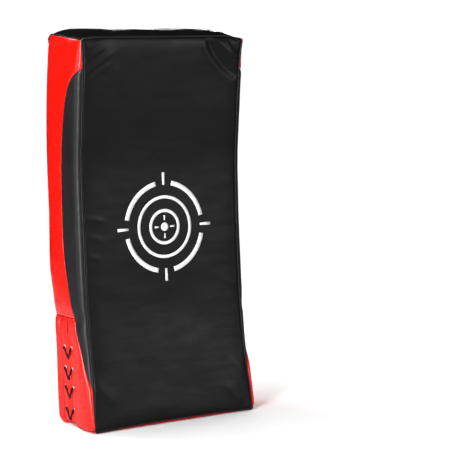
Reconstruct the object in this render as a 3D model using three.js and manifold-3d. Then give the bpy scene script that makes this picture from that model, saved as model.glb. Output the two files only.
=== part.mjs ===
// A large curved kick shield: a sewn cover, laced shut along its foot, over three foam layers.
// Its back carries a raised pad, two padded hand grips and a hook-and-loop forearm strap.
// Millimetres, +Z up. The strike face looks towards -Y, and the origin is the middle of the
// bounding box's base. Inside the shield group, Y is counted from the middle of the side gusset.
import * as THREE from "three";
import { mergeVertices } from "three/addons/utils/BufferGeometryUtils.js";
import Module from "manifold-3d";

const wasm = await Module();
wasm.setup();

// ---- driving dimensions ----
const padHeight = 750;
const padWidth = 350;
const padDepth = 140; // side gusset at the waist, from the front seam to the back seam
const gap = 0.3; // between pieces that touch
const layerGap = 1; // between the back panel and the raised pad, whose facets differ
const skin = 2; // vinyl with its backing
const faceSkin = 3; // the strike face and the back panel are thicker
const pipingSize = 3.6;
const halfWidth = padWidth / 2;
const halfDepth = padDepth / 2;

// Strike face in side view: straight at the waist, leaning forward above and below it.
const topBend = { z: 490, lean: 0.15, softness: 40 };
const footBend = { z: 210, lean: 0.14, softness: 60 };
// Back seam in side view: an arc above the waist, and a step in towards the foot.
const backArc = { z: 464, radius: 1160 };
const hip = { high: 300, low: 209, depth: 15 };
// Outer surface of the raised back pad in side view.
const backPad = { y: 75, arcTop: 560, arcTopRadius: 555, arcFoot: 160, arcFootRadius: 510 };
const backPadSize = { halfWidth: 140, low: 60, high: 690 };

// Top and foot edges in side view.
const crown = { y: 16, radius: 25, endAngle: 30, slope: 0.142 };
const roofStart = 5; // how far behind the face's piping the top gusset begins
const faceLow = 8;
const faceHigh = 731;
const backHigh = 728;
const footCurve = { front: 30, back: 15, backLift: 5 };
const laceChannel = { halfWidth: 21, ramp: 8, lift: 6 };

// Rear edge of the dark crescent on each side: two curves that meet at the bulge's widest point.
const crescentCurve = {
  foot: { y: -92, z: 70 },
  tip: { y: -98, z: 678 },
  bulge: { y: -1, z: 450, lowZ: 340, highZ: 585, flank: -50, footZ: 175, tipZ: 655 },
};

// The red gusset's lower part is two flaps, laced together over a black underlay.
const flapSeamZ = 209;
const slitHalf = 3.6;
const lacePairs = { heights: [151, 111, 75, 33], offset: 15 };
const footPairs = { pitch: 45, count: 7 };
const laceRadius = 1.9;
const laceDrop = 13; // how far past its eyelet a strand dives into the slit
const laceStagger = 7; // the second strand dives this much further on
const eyelet = { hole: 2.2, barrel: 2.75, flange: 4, proud: 1, tail: 2.6 };
const laceOut = 3.5; // strand's height over the flap, outside
const laceCross = 2.6; // its height where the two strands of a pair come together
const laceIn = 4.3; // strand's depth under the flap's outer face, inside
const laceSpread = { out: 3, tail: 6, corner: 7 }; // half the distance between the two strands
const laceTail = 25; // the last stretch, tucked in behind the flaps
const underlayDepth = 6.7;
const underlay = { thickness: 1.5, halfWidth: 31, high: 220 };

const foam = { strike: 30, back: 18 };

const grip = { x: 80, halfWidth: 15, halfDepth: 12, endScale: 0.62, wall: 1.5, webbing: 2.4 };
const gripTop = new THREE.Vector3(0, 87, 572);
const gripFoot = new THREE.Vector3(0, 85, 322);
const gripReach = 108.5; // Y of the curve handles that shape the grip's arch
const gripTab = { clear: 5.5, length: 34, halfWidth: 14, thickness: 2.5, rise: 15 };

const strap = { axisY: 82, axisZ: 604, tilt: 40, width: 27, band: 2.5, patch: 1.2, tongue: 2.2 };
const strapLeg = { inner: 107.5, outer: 150, baseWidth: 40, thickness: 2.5, top: 92, lip: 5, lean: 10 };
const ringBar = { size: 3, halfLength: 17, halfBreadth: 5.5 };
const lowerStrap = { halfWidth: 138, low: 87, high: 116, thickness: 2.5 };

// ---- side profile ----
const softRamp = (t, softness) => (t + Math.hypot(t, softness)) / 2;
const arcDrop = (t, radius) => (t > 0 ? radius - Math.sqrt(radius * radius - t * t) : 0);
const smooth = (t) => THREE.MathUtils.smoothstep(t, 0, 1);

function frontY(z) {
  const above = topBend.lean * softRamp(z - topBend.z, topBend.softness);
  const below = footBend.lean * softRamp(footBend.z - z, footBend.softness);
  return -halfDepth - above - below;
}

function backY(z) {
  const step = hip.depth * smooth((hip.high - z) / (hip.high - hip.low));
  return halfDepth - arcDrop(z - backArc.z, backArc.radius) - step;
}

function backPadY(z) {
  const above = arcDrop(z - backPad.arcTop, backPad.arcTopRadius);
  return backPad.y - above - arcDrop(backPad.arcFoot - z, backPad.arcFootRadius);
}

function footZ(y) {
  const frontEase = THREE.MathUtils.clamp(1 - (y - frontY(0)) / footCurve.front, 0, 1);
  const backEase = THREE.MathUtils.clamp(1 - (backY(0) - y) / footCurve.back, 0, 1);
  const channel = smooth((laceChannel.halfWidth + laceChannel.ramp - Math.abs(y)) / laceChannel.ramp);
  return faceLow * frontEase ** 2 + footCurve.backLift * backEase ** 2 + laceChannel.lift * channel;
}

const topLineZ = (y) => padHeight - crown.slope * (crown.y - y);

function spaced(from, to, count) {
  return Array.from({ length: count + 1 }, (_, i) => from + ((to - from) * i) / count);
}

// The roof and the foot of the side outline (Y, Z), drawn in from the outer surface by insets.
function roofLine(front, back, top) {
  const centre = { y: crown.y - back, z: padHeight - crown.radius };
  const start = frontY(faceHigh) + front + roofStart;
  const points = spaced(start, centre.y, 3).map((y) => [y, topLineZ(y + back) - top]);
  for (const angle of spaced(90, crown.endAngle, 5).slice(1)) {
    const a = THREE.MathUtils.degToRad(angle);
    const radius = crown.radius - top;
    points.push([centre.y + radius * Math.cos(a), centre.z + radius * Math.sin(a)]);
  }
  return points;
}

function footLine(front, back, foot) {
  const heel = backY(0) - back;
  const toe = frontY(faceLow + skin) + front;
  const { halfWidth: half, ramp } = laceChannel;
  const rampPlaces = spaced(half + ramp, half, 3);
  const places = [
    ...spaced(heel, backY(0) - footCurve.back, 2),
    ...rampPlaces,
    ...rampPlaces.map((y) => -y).reverse(),
    ...spaced(frontY(0) + footCurve.front, toe, 3),
  ];
  return places.map((y) => [y, footZ(y) + foot]);
}

const edgeInset = pipingSize; // the piping fills the corner outside this
const frontFacets = 22;
const backFacets = 24;

// The whole side outline, drawn in from the outer surface by four insets.
function sideOutline(front, back, top, foot) {
  const faceTop = faceHigh - edgeInset - top;
  return [
    ...spaced(faceLow + foot, faceTop, frontFacets).map((z) => [frontY(z) + front, z]),
    ...roofLine(front, back, top),
    ...spaced(backHigh - top, footCurve.backLift + foot, backFacets).map((z) => [backY(z) - back, z]),
    ...footLine(front, back, foot).slice(1, -1),
  ].reverse();
}

// ---- building helpers ----
const sidePlane = new THREE.Matrix4().makeBasis(
  new THREE.Vector3(0, 1, 0),
  new THREE.Vector3(0, 0, 1),
  new THREE.Vector3(1, 0, 0),
);
const toShape = (points) => new THREE.Shape(points.map(([x, y]) => new THREE.Vector2(x, y)));

// Extrudes an outline drawn in (Y, Z) along X, from one X to another.
function acrossX(shape, fromX, toX) {
  const geometry = new THREE.ExtrudeGeometry(shape, { depth: toX - fromX, bevelEnabled: false });
  return geometry.applyMatrix4(sidePlane).translate(fromX, 0, 0);
}

function block(x0, x1, y0, y1, z0, z1) {
  const geometry = new THREE.BoxGeometry(x1 - x0, y1 - y0, z1 - z0);
  return geometry.translate((x0 + x1) / 2, (y0 + y1) / 2, (z0 + z1) / 2);
}

function toSolid(geometry) {
  const bare = geometry.index ? geometry.toNonIndexed() : geometry.clone();
  bare.deleteAttribute("normal");
  bare.deleteAttribute("uv");
  const merged = mergeVertices(bare, 1e-3);
  const triVerts = new Uint32Array(merged.index.array);
  const vertProperties = merged.attributes.position.array;
  return new wasm.Manifold(new wasm.Mesh({ numProp: 3, vertProperties, triVerts }));
}

function toGeometry(solid) {
  const mesh = solid.getMesh();
  const geometry = new THREE.BufferGeometry();
  geometry.setAttribute("position", new THREE.BufferAttribute(mesh.vertProperties, mesh.numProp));
  geometry.setIndex(new THREE.BufferAttribute(mesh.triVerts, 1));
  geometry.computeVertexNormals();
  return geometry;
}

const cut = (base, ...tools) => toGeometry(tools.reduce((s, t) => s.subtract(toSolid(t)), toSolid(base)));
const keep = (base, ...tools) => toGeometry(tools.reduce((s, t) => s.intersect(toSolid(t)), toSolid(base)));

// The slice of space between two Y profiles, across a stretch of X and of Z.
function layer(innerY, outerY, halfX, bottom, top, steps = 24) {
  const heights = spaced(bottom, top, steps);
  const front = heights.map((z) => [innerY(z), z]);
  const back = heights.map((z) => [outerY(z), z]).reverse();
  return acrossX(toShape([...back, ...front].reverse()), -halfX, halfX);
}

// Extrudes a section (u, v) and lays it along a path: v runs along outward(t), u to its side.
function sweep(section, steps, path, scale = () => 1) {
  const geometry = new THREE.ExtrudeGeometry(section, { depth: 1, steps, bevelEnabled: false });
  const place = geometry.attributes.position;
  for (let i = 0; i < place.count; i += 1) {
    const t = THREE.MathUtils.clamp(place.getZ(i), 0, 1);
    const size = scale(t);
    const { point, outward, side } = path(t);
    const at = point.clone().addScaledVector(outward, place.getY(i) * size);
    at.addScaledVector(side, place.getX(i) * size);
    place.setXYZ(i, at.x, at.y, at.z);
  }
  geometry.computeVertexNormals();
  return geometry;
}

// Frame along a plane curve: side is the plane's normal, outward points away from the pad.
function frameAlong(curve, side, from = 0, to = 1) {
  return (t) => {
    const along = from + (to - from) * t;
    const outward = new THREE.Vector3().crossVectors(curve.getTangent(along), side).normalize();
    return { point: curve.getPoint(along), outward, side };
  };
}

function rectangle(halfX, bottom, top) {
  return toShape([[-halfX, bottom], [halfX, bottom], [halfX, top], [-halfX, top]]);
}

const looks = {
  blackVinyl: new THREE.MeshStandardMaterial({ color: 0x202022, roughness: 0.5 }),
  redVinyl: new THREE.MeshStandardMaterial({ color: 0xff2314, roughness: 0.35 }),
  insetVinyl: new THREE.MeshStandardMaterial({ color: 0x38383a, roughness: 0.55 }),
  glossVinyl: new THREE.MeshStandardMaterial({ color: 0x18181a, roughness: 0.3 }),
  foam: new THREE.MeshStandardMaterial({ color: 0x9a9a94, roughness: 0.95 }),
  webbing: new THREE.MeshStandardMaterial({ color: 0x141414, roughness: 0.85 }),
  cord: new THREE.MeshStandardMaterial({ color: 0x101010, roughness: 0.7 }),
  nickel: new THREE.MeshStandardMaterial({ color: 0xd6d6d2, roughness: 0.25, metalness: 1 }),
  blackPlastic: new THREE.MeshStandardMaterial({ color: 0x161618, roughness: 0.4 }),
};

const shield = new THREE.Group();

function add(name, geometry, material, parent = shield) {
  const mesh = new THREE.Mesh(geometry, material);
  mesh.name = name;
  parent.add(mesh);
  return mesh;
}

// ---- cover ----
const plateOutline = toShape(sideOutline(edgeInset, edgeInset, 0, 0));
const plateLeft = acrossX(plateOutline, -halfWidth, -halfWidth + skin);

// Cutting blocks reach past the shield on every side.
const wide = halfWidth + 10;
const deep = 200;
const low = -10;
const high = padHeight + 10;

// Everything in front of the crescent's curved rear edge, moved back by shift.
function crescentRegion(shift) {
  const { foot, tip, bulge } = crescentCurve;
  const widest = bulge.y + shift;
  const flank = bulge.flank + shift;
  const shape = new THREE.Shape();
  shape.moveTo(-deep, tip.z);
  shape.lineTo(-deep, foot.z);
  shape.lineTo(foot.y + shift, foot.z);
  shape.bezierCurveTo(flank, bulge.footZ, widest, bulge.lowZ, widest, bulge.z);
  shape.bezierCurveTo(widest, bulge.highZ, flank, bulge.tipZ, tip.y + shift, tip.z);
  shape.closePath();
  return acrossX(shape, -wide, wide);
}

const aboveFlapSeam = block(-wide, wide, -deep, deep, flapSeamZ + gap, high);
const belowFlapSeam = block(-wide, wide, -deep, deep, low, flapSeamZ);
const frontOfSlit = block(-wide, wide, -deep, -slitHalf, low, high);
const rearOfSlit = block(-wide, wide, slitHalf, deep, low, high);
const lastPair = (footPairs.count - 1) / 2;
const footPairPlaces = spaced(-lastPair, lastPair, footPairs.count - 1).map((i) => i * footPairs.pitch);
const holeRadius = eyelet.barrel + gap;
const holeDepth = 20;
const roundFacets = 12;

function eyeletHole(sign, z) {
  const hole = new THREE.CylinderGeometry(holeRadius, holeRadius, holeDepth, roundFacets);
  return hole.rotateZ(Math.PI / 2).translate(-halfWidth, sign * lacePairs.offset, z);
}

const sideGusset = cut(keep(plateLeft, aboveFlapSeam), crescentRegion(gap / 2));
const crescent = keep(plateLeft, crescentRegion(-gap / 2));
const lowerPlate = cut(keep(plateLeft, belowFlapSeam), crescentRegion(gap / 2));

function sideFlap(sign) {
  const half = keep(lowerPlate, sign < 0 ? frontOfSlit : rearOfSlit);
  return cut(half, ...lacePairs.heights.map((z) => eyeletHole(sign, z)));
}

const sides = {
  left: new THREE.Group(),
  right: new THREE.Group(),
};
sides.right.scale.x = -1;
shield.add(sides.left, sides.right);

function eyeletGeometry() {
  const { hole, barrel, flange, proud, tail } = eyelet;
  const profile = [
    [hole, -tail], [barrel, -tail], [barrel, gap], [flange, gap],
    [flange, proud], [hole, proud], [hole, -tail],
  ];
  const ring = new THREE.LatheGeometry(profile.map(([r, h]) => new THREE.Vector2(r, h)), roundFacets - 2);
  return ring.rotateZ(Math.PI / 2);
}

for (const [hand, side] of Object.entries(sides)) {
  add(`side_gusset_${hand}`, sideGusset, looks.redVinyl, side);
  add(`crescent_inset_${hand}`, crescent, looks.insetVinyl, side);
  add(`lace_flap_front_${hand}`, sideFlap(-1), looks.redVinyl, side);
  add(`lace_flap_rear_${hand}`, sideFlap(1), looks.redVinyl, side);
  lacePairs.heights.forEach((z, i) => {
    for (const [place, sign] of [["front", -1], ["rear", 1]]) {
      const ring = add(`eyelet_${hand}_${place}_${i + 1}`, eyeletGeometry(), looks.nickel, side);
      ring.position.set(-halfWidth, sign * lacePairs.offset, z);
    }
  });
}

const faceHalf = halfWidth - pipingSize - gap;
const innerHalf = halfWidth - skin - gap;
const faceSheet = layer(frontY, (z) => frontY(z) + faceSkin, faceHalf, faceLow, faceHigh);
const backSheet = layer((z) => backY(z) - faceSkin, backY, faceHalf, faceLow, backHigh);
add("strike_face", faceSheet, looks.blackVinyl);
add("back_panel", backSheet, looks.blackVinyl);

// The top gusset and the two foot flaps are strips between the side gussets.
const strip = (line, from, to) => acrossX(toShape([...line(0), ...line(skin).reverse()].reverse()), from, to);
const roofStrip = strip((inset) => roofLine(edgeInset, edgeInset, inset), -innerHalf, innerHalf);
const footStrip = strip((inset) => footLine(edgeInset, edgeInset, inset), -innerHalf, innerHalf);
add("top_gusset", roofStrip, looks.glossVinyl);

function footHole(sign, x) {
  const hole = new THREE.CylinderGeometry(holeRadius, holeRadius, holeDepth, roundFacets);
  return hole.rotateX(Math.PI / 2).translate(x, sign * lacePairs.offset, laceChannel.lift);
}

function footFlap(sign) {
  const half = keep(footStrip, sign < 0 ? frontOfSlit : rearOfSlit);
  return cut(half, ...footPairPlaces.map((x) => footHole(sign, x)));
}
add("foot_flap_front", footFlap(-1), looks.redVinyl);
add("foot_flap_rear", footFlap(1), looks.redVinyl);

// A square-section ring round a seam: a slab that follows the seam's side profile, less a window.
const pipingProud = 0.2;
function pipingRing(seamHigh, innerY, outerY) {
  const reach = pipingSize + gap;
  const slab = layer(innerY, outerY, halfWidth, faceLow - reach, seamHigh + reach);
  const open = halfWidth - pipingSize;
  return cut(slab, block(-open, open, -deep, deep, faceLow - gap, seamHigh + gap));
}
const frontRing = pipingRing(faceHigh, (z) => frontY(z) - pipingProud, (z) => frontY(z) + pipingSize - gap);
const backRing = pipingRing(backHigh, (z) => backY(z) - pipingSize + gap, (z) => backY(z) + pipingProud);
add("piping_front", frontRing, looks.blackVinyl);
add("piping_back", backRing, looks.blackVinyl);

// ---- lacing ----
// A strip bent into a U, behind the slit down one side, along the foot and up the other side.
function underlayGeometry() {
  const outer = halfWidth - underlayDepth;
  const inner = outer - underlay.thickness;
  const sole = laceChannel.lift + underlayDepth;
  const floor = sole + underlay.thickness;
  const outline = [
    [-outer, underlay.high], [-outer, sole], [outer, sole], [outer, underlay.high],
    [inner, underlay.high], [inner, floor], [-inner, floor], [-inner, underlay.high],
  ];
  const options = { depth: 2 * underlay.halfWidth, bevelEnabled: false };
  const bent = new THREE.ExtrudeGeometry(toShape(outline), options);
  return bent.rotateX(Math.PI / 2).translate(0, underlay.halfWidth, 0);
}
add("lacing_underlay", underlayGeometry(), looks.blackVinyl);

// Eyelet pairs in lacing order, each with its centre on the slit, its outward direction and
// the direction in which the lacing travels.
function lacingOrder() {
  const down = new THREE.Vector3(0, 0, -1);
  const up = new THREE.Vector3(0, 0, 1);
  const right = new THREE.Vector3(1, 0, 0);
  const left = new THREE.Vector3(-1, 0, 0);
  const pair = (x, z, out, travel) => ({ at: new THREE.Vector3(x, 0, z), out, travel });
  const { heights } = lacePairs;
  return [
    ...heights.map((z) => pair(-halfWidth, z, left, down)),
    ...footPairPlaces.map((x) => pair(x, laceChannel.lift, down, right)),
    ...[...heights].reverse().map((z) => pair(halfWidth, z, right, up)),
  ];
}

// One strand: out through an eyelet, across to the slit, and inside to the far flap's next eyelet.
function strand(firstSign) {
  const points = [];
  const pairs = lacingOrder();
  const dive = laceDrop + (firstSign > 0 ? 0 : laceStagger);
  pairs.forEach(({ at, out, travel }, i) => {
    const sign = firstSign * (i % 2 ? -1 : 1);
    const spot = (y, level, along) => {
      const place = at.clone().addScaledVector(out, level).addScaledVector(travel, along);
      return place.setY(y);
    };
    points.push(spot(sign * lacePairs.offset, -laceIn, 0));
    points.push(spot(sign * lacePairs.offset, laceOut, 0));
    points.push(spot(sign * laceSpread.out, laceCross, dive));
    points.push(spot(-sign * laceSpread.out, -laceIn, dive));
    const next = pairs[i + 1];
    if (!next) {
      points.push(spot(-sign * laceSpread.tail, -laceIn, dive + laceTail));
    } else if (next.out !== out) {
      const cornerX = Math.sign(next.at.x + at.x) * (halfWidth - laceIn);
      points.push(new THREE.Vector3(cornerX, -sign * laceSpread.corner, laceChannel.lift + laceIn));
    }
  });
  return points;
}

// A curve that ExtrudeGeometry samples at its own points, so no bend of the lace is cut short.
class ThroughPoints extends THREE.CatmullRomCurve3 {
  getPointAt(t) {
    return this.getPoint(t);
  }

  getTangentAt(t) {
    return this.getTangent(t);
  }

  getSpacedPoints(count) {
    return this.getPoints(count);
  }
}

function laceGeometry() {
  const route = new ThroughPoints([...strand(1).reverse(), ...strand(-1)]);
  const round = spaced(0, 360, 8).slice(1).map((angle) => {
    const a = THREE.MathUtils.degToRad(angle);
    return [laceRadius * Math.cos(a), laceRadius * Math.sin(a)];
  });
  const options = { extrudePath: route, steps: route.points.length - 1, bevelEnabled: false };
  return new THREE.ExtrudeGeometry(toShape(round), options);
}
add("lace", laceGeometry(), looks.cord);

// ---- foam filling ----
const cavityInset = pipingSize + gap;
const cavity = acrossX(
  toShape(sideOutline(cavityInset, cavityInset, skin + gap, skin + gap)),
  -innerHalf,
  innerHalf,
);
const strikeBack = (z) => frontY(z) + cavityInset + foam.strike;
const coreBack = (z) => backY(z) - cavityInset - foam.back - gap;
const margin = 10;
const strikeRegion = layer((z) => frontY(z) - margin, strikeBack, wide, low, high);
const coreRegion = layer((z) => strikeBack(z) + gap, coreBack, wide, low, high);
const backRegion = layer((z) => coreBack(z) + gap, (z) => backY(z) + margin, wide, low, high);
const recess = underlayDepth + underlay.thickness + gap;
const recessHigh = underlay.high + margin / 2;
const coreLeft = block(-wide, -halfWidth + recess, -deep, deep, low, recessHigh);
const coreRight = block(halfWidth - recess, wide, -deep, deep, low, recessHigh);
const coreFoot = block(-wide, wide, -deep, deep, low, laceChannel.lift + recess);
add("foam_strike_layer", keep(cavity, strikeRegion), looks.foam);
add("foam_core", cut(keep(cavity, coreRegion), coreLeft, coreRight, coreFoot), looks.foam);
add("foam_back_layer", keep(cavity, backRegion), looks.foam);

// ---- raised back pad ----
const coverWall = 1.5;
const padInner = (z) => backY(z) + layerGap;

// The pad's body between an inner profile and its outer surface, drawn in by a wall on all sides.
function padLayer(innerY, wall) {
  const { halfWidth: half, low: padLow, high: padHigh } = backPadSize;
  return layer(innerY, (z) => backPadY(z) - wall, half - wall, padLow + wall, padHigh - wall);
}
const padPocket = padLayer((z) => backY(z) - margin / 2, coverWall);
add("back_pad_cover", cut(padLayer(padInner, 0), padPocket), looks.blackVinyl);
add("back_pad_foam", padLayer(padInner, coverWall + gap), looks.foam);

const strapInner = (z) => backPadY(z) + gap;
const strapOuter = (z) => strapInner(z) + lowerStrap.thickness;
const lowerStrapFacets = 2;
const lowerBand = layer(
  strapInner, strapOuter, lowerStrap.halfWidth, lowerStrap.low, lowerStrap.high, lowerStrapFacets,
);
add("lower_strap", lowerBand, looks.webbing);

// ---- hand grips ----
const sideways = new THREE.Vector3(1, 0, 0);
const gripCurve = new THREE.CubicBezierCurve3(
  gripTop,
  new THREE.Vector3(0, gripReach, 545),
  new THREE.Vector3(0, gripReach, 380),
  gripFoot,
);
const gripPath = frameAlong(gripCurve, sideways.clone().negate());
const gripTaper = (t) => grip.endScale + (1 - grip.endScale) * Math.sqrt(Math.max(0, Math.sin(Math.PI * t)));

const gripFacets = 10;
const webbingInset = 2; // the grip's webbing stays this far inside its sides

// Half of an ellipse in the grip's section, from one side of the seam to the other.
function halfEllipse(halfX, halfY, base) {
  return spaced(0, 180, 6).map((angle) => {
    const a = THREE.MathUtils.degToRad(angle);
    return [halfX * Math.cos(a), base + (halfY - Math.abs(base)) * Math.sin(a)];
  });
}

function gripPieces(hand, sign) {
  const group = new THREE.Group();
  group.position.x = sign * grip.x;
  shield.add(group);
  const { halfWidth: a, halfDepth: b, wall, webbing } = grip;
  const seam = webbing / 2 + gap;
  const outerArc = halfEllipse(a, b, seam);
  const innerArc = halfEllipse(a - wall, b - wall, seam).reverse();
  const foamArc = halfEllipse(a - wall - gap, b - wall - gap, seam);
  const palmArc = halfEllipse(a, b, seam).map(([x, y]) => [-x, -y]);
  const alongGrip = (section) => sweep(section, gripFacets, gripPath, gripTaper);
  const core = rectangle(a - webbingInset, -webbing / 2, webbing / 2);
  add(`grip_cover_${hand}`, alongGrip(toShape([...outerArc, ...innerArc])), looks.glossVinyl, group);
  add(`grip_foam_${hand}`, alongGrip(toShape(foamArc)), looks.foam, group);
  add(`grip_palm_pad_${hand}`, alongGrip(toShape(palmArc)), looks.webbing, group);
  add(`grip_webbing_${hand}`, alongGrip(core), looks.webbing, group);
  add(`grip_tab_upper_${hand}`, gripTabGeometry(gripTop.z, 1), looks.webbing, group);
  add(`grip_tab_lower_${hand}`, gripTabGeometry(gripFoot.z, -1), looks.webbing, group);
}

// A webbing tab lying on the back pad, with its inner end bent out to meet the grip.
function gripTabGeometry(gripEndZ, direction) {
  const { clear, length, halfWidth: half, thickness, rise } = gripTab;
  const innerZ = gripEndZ + direction * clear;
  const base = backPad.y + gap;
  const far = innerZ + direction * length;
  const bend = innerZ + direction * thickness;
  const onPad = (z) => backPadY(z) + gap;
  const outline = [
    [base + rise, innerZ], [base, innerZ], [onPad(far), far],
    [onPad(far) + thickness, far], [base + thickness, bend], [base + rise, bend],
  ];
  const points = direction > 0 ? outline.reverse() : outline;
  return acrossX(toShape(points), -half, half);
}
gripPieces("left", -1);
gripPieces("right", 1);

// ---- forearm strap ----
const strapTilt = new THREE.Group();
strapTilt.position.set(0, strap.axisY, strap.axisZ);
strapTilt.rotation.x = THREE.MathUtils.degToRad(strap.tilt);
shield.add(strapTilt);

const strapCurve = new THREE.CubicBezierCurve3(
  new THREE.Vector3(-96, 16, 0),
  new THREE.Vector3(-62, 32, 0),
  new THREE.Vector3(66, 32, 0),
  new THREE.Vector3(103, 10, 0),
);
const strapSide = new THREE.Vector3(0, 0, -1);

// A flat band on the strap's arch, between two heights over the band's middle.
function addStrapLayer(name, bottom, top, [from, to], width, steps) {
  const section = rectangle(width / 2, bottom, top);
  const geometry = sweep(section, steps, frameAlong(strapCurve, strapSide, from, to));
  add(name, geometry, looks.webbing, strapTilt);
}
const bandTop = strap.band / 2;
const hookTop = bandTop + gap + strap.patch;
const loopTop = hookTop + gap + strap.patch;
const tongueTop = loopTop + gap + strap.tongue;
const patchWidth = strap.width - 3;
addStrapLayer("arm_strap_band", -bandTop, bandTop, [0, 1], strap.width, 16);
addStrapLayer("arm_strap_hook_patch", bandTop + gap, hookTop, [0.16, 0.66], patchWidth, 8);
addStrapLayer("arm_strap_loop_patch", hookTop + gap, loopTop, [0.16, 0.58], patchWidth, 8);
addStrapLayer("arm_strap_tongue", loopTop + gap, tongueTop, [0.045, 0.62], strap.width, 10);

function ringGeometry() {
  const { size, halfLength, halfBreadth } = ringBar;
  const shape = rectangle(halfBreadth, -halfLength, halfLength);
  const hole = rectangle(halfBreadth - size, size - halfLength, halfLength - size);
  shape.holes.push(new THREE.Path(hole.getPoints().reverse()));
  const ring = new THREE.ExtrudeGeometry(shape, { depth: size, bevelEnabled: false });
  return ring.translate(0, 0, -size / 2).rotateX(Math.PI / 2);
}
const ring = add("arm_strap_ring", ringGeometry(), looks.blackPlastic, strapTilt);
const bandStart = strapCurve.getTangent(0);
ring.position.copy(strapCurve.getPoint(0)).addScaledVector(bandStart, -ringBar.halfBreadth - 2 * gap);
ring.rotation.z = Math.atan2(bandStart.y, bandStart.x);

// A leg sewn flat to the pad, rising at its inner end to where the band or the ring begins.
function strapLegGeometry() {
  const { inner, outer, thickness, top, lip, lean, baseWidth } = strapLeg;
  const base = backPadY(strap.axisZ - baseWidth / 2) + gap;
  const outline = [
    [inner, top], [inner, top - lip], [inner + lean, base], [outer, base],
    [outer, base + thickness], [inner + lean + 1, base + thickness], [inner + thickness, top],
  ];
  const geometry = new THREE.ExtrudeGeometry(toShape(outline), { depth: baseWidth, bevelEnabled: false });
  return geometry.translate(0, 0, strap.axisZ - baseWidth / 2);
}
add("arm_strap_anchor_right", strapLegGeometry(), looks.webbing);
const leftAnchor = add("arm_strap_anchor_left", strapLegGeometry(), looks.webbing);
leftAnchor.scale.x = -1;

// ---- place the shield so that the origin is the middle of the bounding box's base ----
const box = new THREE.Box3().setFromObject(shield, true);
shield.position.y = -(box.min.y + box.max.y) / 2;

export default shield;
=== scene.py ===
"""Looks for the curved kick shield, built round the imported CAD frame, in metres in the same frame."""
import math

import bmesh
import bpy
import numpy as np
from mathutils import Matrix, Vector, noise


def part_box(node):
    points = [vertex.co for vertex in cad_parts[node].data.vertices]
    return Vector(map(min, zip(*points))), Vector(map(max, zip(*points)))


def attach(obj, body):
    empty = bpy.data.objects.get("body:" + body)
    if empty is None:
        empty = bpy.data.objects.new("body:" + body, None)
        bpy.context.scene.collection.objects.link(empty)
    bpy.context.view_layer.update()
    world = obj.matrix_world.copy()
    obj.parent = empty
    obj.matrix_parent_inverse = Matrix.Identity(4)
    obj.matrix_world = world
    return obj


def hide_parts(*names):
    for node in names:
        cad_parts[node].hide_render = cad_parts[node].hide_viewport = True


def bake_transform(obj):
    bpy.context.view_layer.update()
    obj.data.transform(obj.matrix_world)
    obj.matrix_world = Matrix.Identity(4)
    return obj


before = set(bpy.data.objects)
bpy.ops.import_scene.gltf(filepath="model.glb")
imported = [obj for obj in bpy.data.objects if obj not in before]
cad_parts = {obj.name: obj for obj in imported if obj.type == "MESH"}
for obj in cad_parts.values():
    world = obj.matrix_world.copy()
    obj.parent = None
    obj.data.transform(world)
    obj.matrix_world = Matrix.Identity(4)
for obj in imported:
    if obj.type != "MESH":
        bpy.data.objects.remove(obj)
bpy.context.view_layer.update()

# ---- dimensions in millimetres; Y is counted from the middle of the side gusset, as in the CAD ----
MM = 0.001
HALF_WIDTH = 175
HALF_DEPTH = 70
PAD_HEIGHT = 750
TOP_BEND = dict(z=490, lean=0.15, softness=40)
FOOT_BEND = dict(z=210, lean=0.14, softness=60)
BACK_ARC = dict(z=464, radius=1160)
HIP = dict(high=300, low=209, depth=15)
BACK_PAD = dict(y=75, arc_top=560, arc_top_radius=555, arc_foot=160, arc_foot_radius=510)
BACK_PAD_SIZE = dict(half_width=140, low=60, high=690)
CROWN = dict(y=16, radius=25, end_angle=30, slope=0.142)
FACE_LOW, FACE_HIGH, BACK_HIGH = 8, 731, 728
FOOT_CURVE = dict(front=30, back=22, back_lift=8)
LACE_CHANNEL = dict(half_width=19, ramp=7, lift=6)
FLAP_SEAM_Z = 209
LACE_HEIGHTS = (151, 111, 75, 33)
EYELET_OFFSET = 15
FOOT_PAIRS = [45 * i for i in range(-3, 4)]
LACE_RADIUS = 2
PIPING = 1.8  # radius of the bound seams
SHEET = 1.6  # thickness of the vinyl
FRONT_TURN = math.radians(62)  # how far round the front edge the side panels reach
BACK_TURN = math.radians(55)
BACK_EDGE = 9  # radius of the rounded back edges
BACK_SEAM_X = HALF_WIDTH - BACK_EDGE * (1 - math.cos(BACK_TURN))
CORNER_SAG = dict(left=2.5, right=6, reach=45, height=130)
PLEAT = 29  # from the slit to the flaps' outer stitch line
FOOT_ROLL = 9  # depth of the foot's rounded front edge
GRIP_X = 80
SEWN_HEIGHTS = (338, 565, 612)  # where the grips' tabs and the strap's anchors draw the back pad in
HANDS = (("left", -1), ("right", 1))
ROWS = (("front", -1), ("rear", 1))
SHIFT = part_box("back_panel")[1].y / MM - HALF_DEPTH  # from the gusset's middle to the frame's origin


# ---- side profile ----
def soft_ramp(t, softness):
    return (t + np.hypot(t, softness)) / 2


def arc_drop(t, radius):
    t = np.maximum(t, 0)
    return radius - np.sqrt(radius**2 - t**2)


def smooth(t):
    t = np.clip(t, 0, 1)
    return t * t * (3 - 2 * t)


def rise(distance, reach):
    """From 0 at a border to nearly 1 a few reaches inside it."""
    return 1 - np.exp(-np.maximum(distance, 0) / reach)


def hump(distance, width, power=2):
    """1 on a line, falling off to 0 within about two widths of it."""
    return np.exp(-((distance / width) ** power))


def front_y(z):
    above = TOP_BEND["lean"] * soft_ramp(z - TOP_BEND["z"], TOP_BEND["softness"])
    below = FOOT_BEND["lean"] * soft_ramp(FOOT_BEND["z"] - z, FOOT_BEND["softness"])
    return -HALF_DEPTH - above - below


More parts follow.
